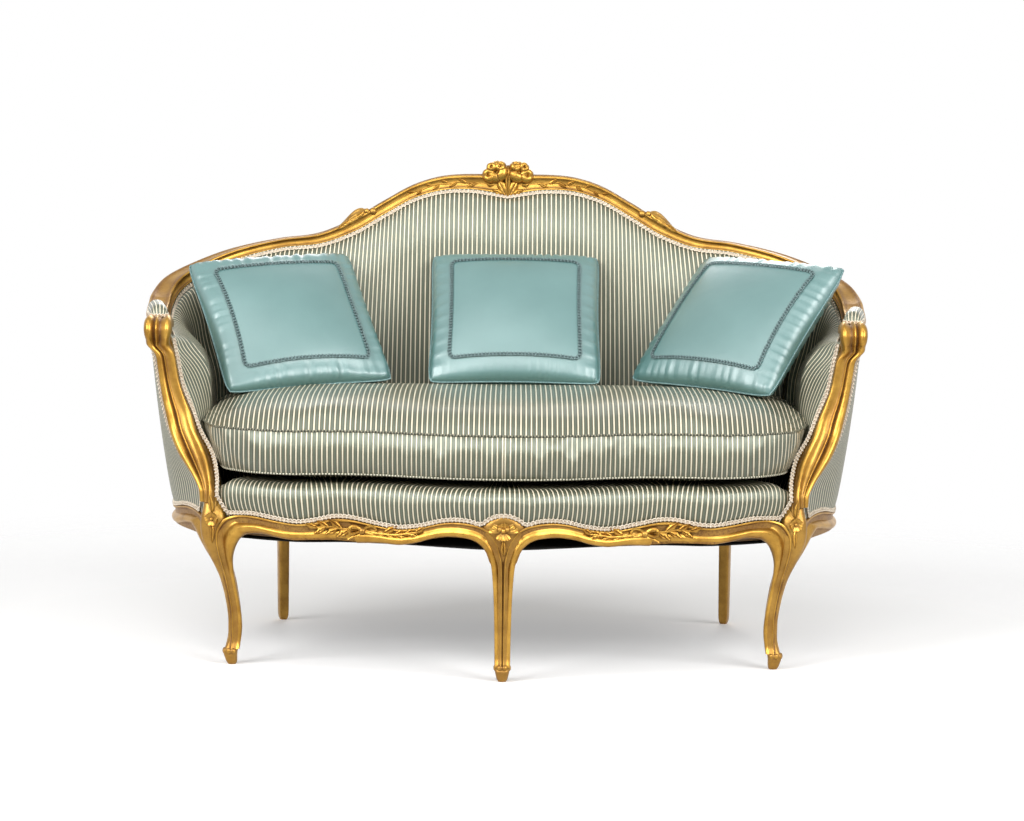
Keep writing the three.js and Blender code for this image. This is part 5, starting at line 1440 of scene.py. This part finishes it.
def back_trim():
    parts = rail_gimp(-0.437, 0.437)
    place = np.linspace(-0.437, 0.437, 420)
    low = wall_point(place, PANEL_INSET - 0.0025, WALL_FOOT, side_rail_top(place) + 0.0045)
    parts += gimp(low, wall_outward(place, 0.5))
    for place in (0.4365, 0.4735):
        heights = np.linspace(0.296, float(rail_bottom(place)) - 0.004, 200)
        line = wall_point(place, PANEL_INSET - 0.0025, heights)
        parts += both(gimp(line, wall_point(place, -0.02, heights) - line))
    return parts


def build_upholstery():
    pad, ring = manchette()
    for name, node, part, share in (
        ("inside_back_pad", "inside_back", back_pad(), 0.8),
        ("SIDE_inside_arm_pad", "SIDE_inside_arm", arm_pad(), 0.8),
        ("SIDE_outside_arm_cover", "SIDE_outside_arm", outer_panel(0.474, 1.99, 150), 0.9),
        ("outside_back_cover", "outside_back", outer_panel(-0.437, 0.437, 200), 0.9),
        ("seat_deck_pad", "seat_deck", deck_front(), 0.9),
        ("SIDE_manchette_pad", "SIDE_manchette", pad, 1.0),
    ):
        build(name, [part], SILK, [node], 60)
    loop = np.vstack([ring, ring[:1]])
    tape = gimp(loop, (loop - ring.mean(0)) * [1, 1, 0] + [0, 0, 0.008], 0.0075, 0.0068, 0.0010)
    build("gimp_trim", trim() + both(tape), GIMP, sharp=80)
    build("back_gimp_trim", back_trim(), GIMP, sharp=80)


# Loose cushion


def cushion_half_width():
    """Half width at the front corners, which lie against the arm supports."""
    x, _, wide, _ = support_at(np.array(CUSHION_LOWER))
    return float(x - wide - CUSHION_CLEARANCE)


def cushion_plan(count):
    inset = PAD_INSET + ARM_PAD + CUSHION_CLEARANCE
    back_inset = PAD_INSET + BACK_PAD + CUSHION_CLEARANCE + CUSHION_FLARE + CUSHION_BULGE
    places = np.linspace(CUSHION_FRONT_PLACE, 0, 17)
    inset = lerp(back_inset, inset, np.clip(places / SEAM_PLACE, 0, 1))
    side = wall_point(places, inset + arm_nose(places, CUSHION_LOWER), CUSHION_LOWER)
    across, bow = np.array(CUSHION_FRONT_SHARES).T
    front = xyz(across * cushion_half_width(), CUSHION_CORNER_Y - CUSHION_BOW * bow + SHIFT, CUSHION_LOWER)
    half = np.vstack([front, side])
    ring = np.vstack([half, half[-2:0:-1] * [-1, 1, 1], half[:1]])
    smooth = spline(np.vstack([ring[-4:-1], ring, ring[1:4]]), 8 * count)
    run = lengths(smooth)
    away = np.linalg.norm(smooth - ring[0], axis=1)
    start = np.argmin(away[: 2 * count])
    end = len(smooth) - 2 * count + np.argmin(away[-2 * count :])
    return sampled(np.linspace(run[start], run[end], count + 1)[:-1], run, smooth)


def cushion_rings():
    """Rings from the middle of the underside over the boxed edge to the middle of the top: share of
    the half depth inwards, outward swell and height."""
    foot, upper = DECK_TOP + REST_GAP, CUSHION_LOWER + CUSHION_BAND
    rows = []
    for share in np.linspace(1, 0.02, 23):
        rows.append((share, 0.0, foot + CUSHION_BELLY * (1 - smoothstep(0.0, 0.30, share)), "under"))
    rows.append((0.0, -CUSHION_BULGE, CUSHION_LOWER, "under"))
    for share in np.linspace(0, 1, 22)[1:-1]:
        bulge = CUSHION_BULGE * (3.9 * np.sin(np.pi * share**0.92) ** 0.8 - 1)
        rows.append((0.0, 0.4 * CUSHION_FLARE * share + bulge, CUSHION_LOWER + CUSHION_BAND * share, "band"))
    edge = 0.4 * CUSHION_FLARE - CUSHION_BULGE
    rows.append((0.0, edge, upper, "top"))
    for share in np.linspace(0.012, 1, 49):
        rows.append((share, edge * (1 - share), upper + CUSHION_CROWN * curve(CROWN_SHARES, share), "top"))
    return rows


def seat_cushion():
    """Shells of the underside, the boxed edge and the top, with the rings of both seams."""
    plan = cushion_plan(400)
    back_y, front_y = plan[:, 1].max(), plan[:, 1].min()
    middle_y, half_depth = (back_y + front_y) / 2, (back_y - front_y) / 2
    around = lengths(np.vstack([plan, plan[:1]]))
    corner = smoothstep(0.43, 0.54, np.abs(plan[:, 0])) * (1 - smoothstep(-0.02, 0.09, plan[:, 1]))
    widen = np.sign(plan[:, 0]) * CUSHION_SPREAD * corner
    rows = cushion_rings()
    kinds = [row[3] for row in rows]
    rings = []
    for share, swell, height, kind in rows:
        inwards, beside = half_depth * share - swell, half_depth * share - 0.35 * swell
        spread_here = (1 - share) if kind == "top" else np.clip((height - CUSHION_LOWER) / CUSHION_BAND, 0, 1)
        x = plan[:, 0] * (1 - beside / cushion_half_width()) + widen * spread_here
        rings.append(xyz(x, middle_y + (plan[:, 1] - middle_y) * (1 - inwards / half_depth), height))
    first_top, last_under = kinds.index("top"), kinds.index("band") - 1
    points = puckered(np.stack(rings), around[:-1], last_under, first_top)
    closed = np.concatenate([points, points[:, :1]], 1)
    seam = closed[first_top]
    uv = closed[..., :2]
    boxed = slice(last_under, first_top + 1)
    shift = (closed[boxed, :, 0] - seam[:, 0]) * (1 - smoothstep(-0.30, -0.20, seam[:, 1] - SHIFT))
    box_uv = xyz(around + shift, closed[boxed, :, 2])
    parts = [grid(points[rows], uv[rows], loop_columns=True) for rows in (slice(0, last_under + 1), slice(first_top, None))]
    parts.insert(1, grid(points[boxed], box_uv, loop_columns=True))
    return parts, points[last_under], points[first_top]


def puckered(points, around, last_under, first_top):
    """Soft dents along the seams and slow waves over the whole cushion."""
    pick = random.Random(11)
    rows = np.arange(len(points))[:, None]
    angle = 2 * np.pi * around / (around[-1] + around[1])

    def waves(low, high, number):
        field = np.zeros(len(around))
        for _ in range(number):
            field = field + np.sin(pick.randint(low, high) * angle + pick.uniform(0, 6.28))
        return field / math.sqrt(number)

    out = unit((points - points.mean((0, 1))) * [1, 1, 0])
    on_band, on_top = (rows > last_under) & (rows < first_top), rows > first_top
    share = np.clip((rows - last_under) / (first_top - last_under), 0, 1)
    seam_near = np.minimum(share, 1 - share)
    fade = np.exp(-((seam_near / 0.26) ** 2)) * smoothstep(0.0, 0.08, seam_near)
    ripple = waves(60, 150, 6) * fade * 0.0013
    slow = waves(5, 14, 5) * np.sin(np.pi * share) * 0.0016
    sag = (waves(22, 60, 7) + 0.7 * waves(60, 110, 4)) * np.sin(2 * np.pi * share) * 0.0017
    points = points + out * ((ripple + slow + sag) * on_band)[..., None]
    above = np.clip((rows - first_top) / 14.0, 0, 1)
    crown = waves(50, 130, 6) * np.exp(-(((above - 0.16) / 0.16) ** 2)) * 0.0011
    swell = waves(3, 9, 4) * np.sin(np.pi * above) * 0.0026
    points[..., 2] += (crown + swell) * on_top
    points[first_top, :, 2] += 0.0005 * waves(90, 120, 3)
    return points


def build_cushion():
    body = "seat_cushion"
    parts, low_ring, high_ring = seat_cushion()
    build("seat_cushion_boxed", parts, SILK, [body], 60, body)
    # The upper piping takes the dark painted seam shade, the lower the plain striped piping
    for name, ring, share, cover in (("lower", low_ring, 0.80, PIPING), ("upper", high_ring, 0.85, PAINTED_SEAM_SHADE)):
        path = spline(np.vstack([ring, ring[:1]]), 1500)[:-1]
        away = unit((path - path.mean(0)) * [1, 1, 0])
        cord = tube(path + away * 0.0009, share * PIPING_RADIUS, closed=True, uv_pitch=0.01)
        build(f"seat_cushion_{name}_piping", [cord], cover, sharp=80, body=body)


# Pillows


def pillow_sheets():
    """Two square sheets sewn round their edge, nearly flat: grid points of the front, then the inner
    points of the back."""
    n = PILLOW_CELLS
    line = np.linspace(-1, 1, n + 1)
    a, b = np.meshgrid(line, line, indexing="ij")
    gap = 0.010 * (1 - a**2) * (1 - b**2)
    front = xyz(a * SHEET_HALF, -gap, b * SHEET_HALF)
    back = (front * [1, -1, 1])[1:-1, 1:-1]
    on_front = lambda i, j: i * (n + 1) + j
    behind = lambda i, j: on_front(i, j) if i in (0, n) or j in (0, n) else (n + 1) ** 2 + (i - 1) * (n - 1) + j - 1
    faces = []
    for i in range(n):
        for j in range(n):
            corners = ((i, j), (i + 1, j), (i + 1, j + 1), (i, j + 1))
            faces.append(tuple(on_front(*corner) for corner in corners))
            faces.append(tuple(behind(*corners[k]) for k in (0, 3, 2, 1)))
    return np.vstack([front.reshape(-1, 3), back.reshape(-1, 3)]), faces


def stuffed_pillow(flat):
    """The stuffed form of the flat sheets, with soft corners."""
    a, b = flat[:, 0] / SHEET_HALF, flat[:, 2] / SHEET_HALF
    draw = 0.034
    share = np.clip((1 - a**2) * (1 - b**2), 0, 1) ** 0.40
    half = PILLOW_HALF * (1 - 0.040 * (a * b) ** 8)
    x, z = a * (1 - draw * (1 - b**2)) * half, b * (1 - draw * (1 - a**2)) * half
    return xyz(x, np.sign(flat[:, 1]) * PILLOW_THICKNESS / 2 * share, z)


def gathered(points, flat, seed):
    """Small gathers between the braid and the seam, which fade inwards."""
    a, b = flat[:, 0] / SHEET_HALF, flat[:, 2] / SHEET_HALF
    pick = random.Random(seed)
    lift = np.zeros(len(points))
    for edge, run in ((1 - np.abs(a), b), (1 - np.abs(b), a)):
        depth = edge * SHEET_HALF
        wave = np.zeros(len(points))
        for _ in range(5):
            pitch = pick.uniform(9, 24)
            wave += np.sin(np.pi * pitch * run + pick.uniform(0, 6.28) + 25 * depth * pick.uniform(-1, 1))
        lift += np.exp(-((depth / 0.030) ** 2)) * smoothstep(0.0, 0.006, depth) * wave * 0.00085
    return points + xyz(0, np.sign(points[:, 1] - points[:, 1].mean()) * lift, 0)


def inflate(piece, pressure, frames, shrink, held):
    """Points after a cloth simulation under inner pressure, without gravity, held at some points."""
    cloth = piece.modifiers.new("cloth", "CLOTH")
    piece.vertex_groups.new(name="seam").add(held, 1.0, "REPLACE")
    for key, value in {
        "quality": 6, "mass": 0.25, "tension_stiffness": 25, "compression_stiffness": 25,
        "shear_stiffness": 12, "bending_stiffness": 0.35, "tension_damping": 15,
        "compression_damping": 15, "shear_damping": 15, "bending_damping": 1.0, "air_damping": 4,
        "use_pressure": True, "uniform_pressure_force": pressure, "shrink_min": shrink,
        "vertex_group_mass": "seam",
    }.items():
        setattr(cloth.settings, key, value)
    cloth.settings.effector_weights.gravity = 0
    cloth.collision_settings.use_collision = False
    cloth.point_cache.frame_start, cloth.point_cache.frame_end = 1, frames
    for index in range(1, frames + 1):
        bpy.context.scene.frame_set(index)
    shaped = piece.evaluated_get(bpy.context.evaluated_depsgraph_get()).data
    co = np.empty(len(shaped.vertices) * 3, np.float32)
    shaped.vertices.foreach_get("co", co)
    bpy.data.objects.remove(piece)
    bpy.context.scene.frame_set(1)
    return co.reshape(-1, 3).astype(float)


def eased(points, faces, passes):
    """The points' field after averaging with their neighbours along the faces' edges."""
    pairs = np.array([(face[i - 1], face[i]) for face in faces for i in range(len(face))])
    weight = np.zeros((len(points), 1))
    np.add.at(weight, pairs, 1)
    for _ in range(passes):
        total = np.zeros_like(points)
        np.add.at(total, pairs[:, 0], points[pairs[:, 1]])
        np.add.at(total, pairs[:, 1], points[pairs[:, 0]])
        points = (points + total / weight) / 2
    return points


def pillow_shape(seed):
    """A pillow's points and faces: cloth that swells over its filling, held at its seam."""
    flat, faces = pillow_sheets()
    start = stuffed_pillow(flat)
    pick = random.Random(seed)
    edge = np.maximum(np.abs(flat[:, 0]), np.abs(flat[:, 2])) / SHEET_HALF
    rough = np.array([[pick.uniform(-1, 1) for _ in range(3)] for _ in flat]) * 0.0004
    piece = mesh_piece("pillow_sim", start * [1, 0.94, 1] + rough * (edge < 0.99)[:, None], faces)
    swollen = inflate(piece, 3.5, 18, -0.006, np.nonzero(edge > 0.995)[0].tolist())
    moved = eased(swollen - start, faces, 14) * 0.5 * smoothstep(0, 0.06, 1 - edge)[:, None]
    points = start + np.clip(moved, -0.007, 0.007)
    points[:, 1] *= PILLOW_THICKNESS / np.ptp(points[:, 1])
    return gathered(points, flat, seed), faces


def front_sheet(points):
    n = PILLOW_CELLS + 1
    return points[: n * n].reshape(n, n, 3)


def pillow_front(points, a, b):
    """Point of the front sheet at shares of its half width and half height, by its grid."""
    n = PILLOW_CELLS
    front = front_sheet(points)
    i, j = (np.clip(a, -1, 1) + 1) / 2 * n, (np.clip(b, -1, 1) + 1) / 2 * n
    i0, j0 = np.clip(i.astype(int), 0, n - 1), np.clip(j.astype(int), 0, n - 1)
    s, t = (i - i0)[..., None], (j - j0)[..., None]
    low = lerp(front[i0, j0], front[i0 + 1, j0], s)
    return lerp(low, lerp(front[i0, j0 + 1], front[i0 + 1, j0 + 1], s), t)


def square_loop(share, steps=40, corner=0.10):
    """A square loop with small rounded corners, in shares of the half width."""
    line = []
    for angle in np.arange(4) * math.pi / 2:
        c, s = math.cos(angle), math.sin(angle)
        for run in np.linspace(-1 + corner, 1 - corner, steps):
            line.append((run * c + s, run * s - c))
        for swing in angle - math.pi / 2 + np.linspace(0.2, 0.8, 4) * math.pi / 2:
            middle = (c + s) * (1 - corner), (s - c) * (1 - corner)
            line.append((middle[0] + corner * math.cos(swing), middle[1] + corner * math.sin(swing)))
    return share * np.array(line + line[:1])


def pillow_trim(points):
    """Braid on the front and a cord round the seam."""
    a, b = square_loop(1 - BRAID_INSET / PILLOW_HALF).T
    step = 0.02
    line = pillow_front(points, a, b)
    outward = np.cross(pillow_front(points, a, b + step) - line, pillow_front(points, a + step, b) - line)
    outward *= np.sign(-outward[:, 1:2] + 1e-9)
    braid = gimp(line + unit(outward) * 0.0006, outward, BRAID_WIDTH, 0.0072, 0.0012)
    front = front_sheet(points)
    rim = np.vstack([front[:-1, 0], front[-1, :-1], front[:0:-1, -1], front[0, :0:-1]])
    smooth = spline(np.vstack([rim, rim[:1]]), 700)[:-1]
    twist = 1 + 0.12 * np.sin(2 * np.pi * np.arange(len(smooth)) / 3)
    return braid, [tube(smooth, 0.0017 * twist, 6, closed=True)]


def build_pillows():
    """Each pillow and its trim, turned and set where the CAD solid is."""
    for seed, (name, (turn, roll, settled)) in enumerate(PILLOW_POSES.items(), 3):
        points, faces = pillow_shape(seed)
        braid, cord = pillow_trim(points)
        spin = np.array(turned(turn, "Z", 3) @ turned(-PILLOW_LEAN, "X", 3) @ turned(roll, "Y", 3)).T
        low, high = (np.array(corner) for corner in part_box(name))
        body = points @ spin
        offset = (low + high - body.max(0) - body.min(0)) / 2 + [0, 0, settled]
        for suffix, parts, material, nodes, share in (
            ("satin", [(points, faces, None, None)], SATIN, [name], 0.85),
            ("braid", braid, BRAID, (), None),
            ("cord", cord, SATIN_CORD, (), None),
        ):
            moved = [(part[0] @ spin + offset, *part[1:]) for part in parts]
            build(f"{name}_{suffix}", moved, material, nodes, 80, name)


def dress_cad_nodes():
    """Materials of the CAD nodes that stay: hidden rails, blocks, webbing and the dust cloth."""
    finishes = {"seat_webbing": JUTE, "dust_cover": BLACK}
    finishes.update({n: WOOD for n in frame["nodes"] if "glue_block" in n or "tack_rail" in n or n == "lower_back_rail"})
    for name, finish in finishes.items():
        materials = frame["nodes"][name].data.materials
        materials.clear()
        materials.append(finish)


camera()
world()
floor()
lamps()
bpy.context.scene.view_settings.view_transform = "Standard"
dress_cad_nodes()
build_frame_wood()
build_upholstery()
build_cushion()
build_pillows()
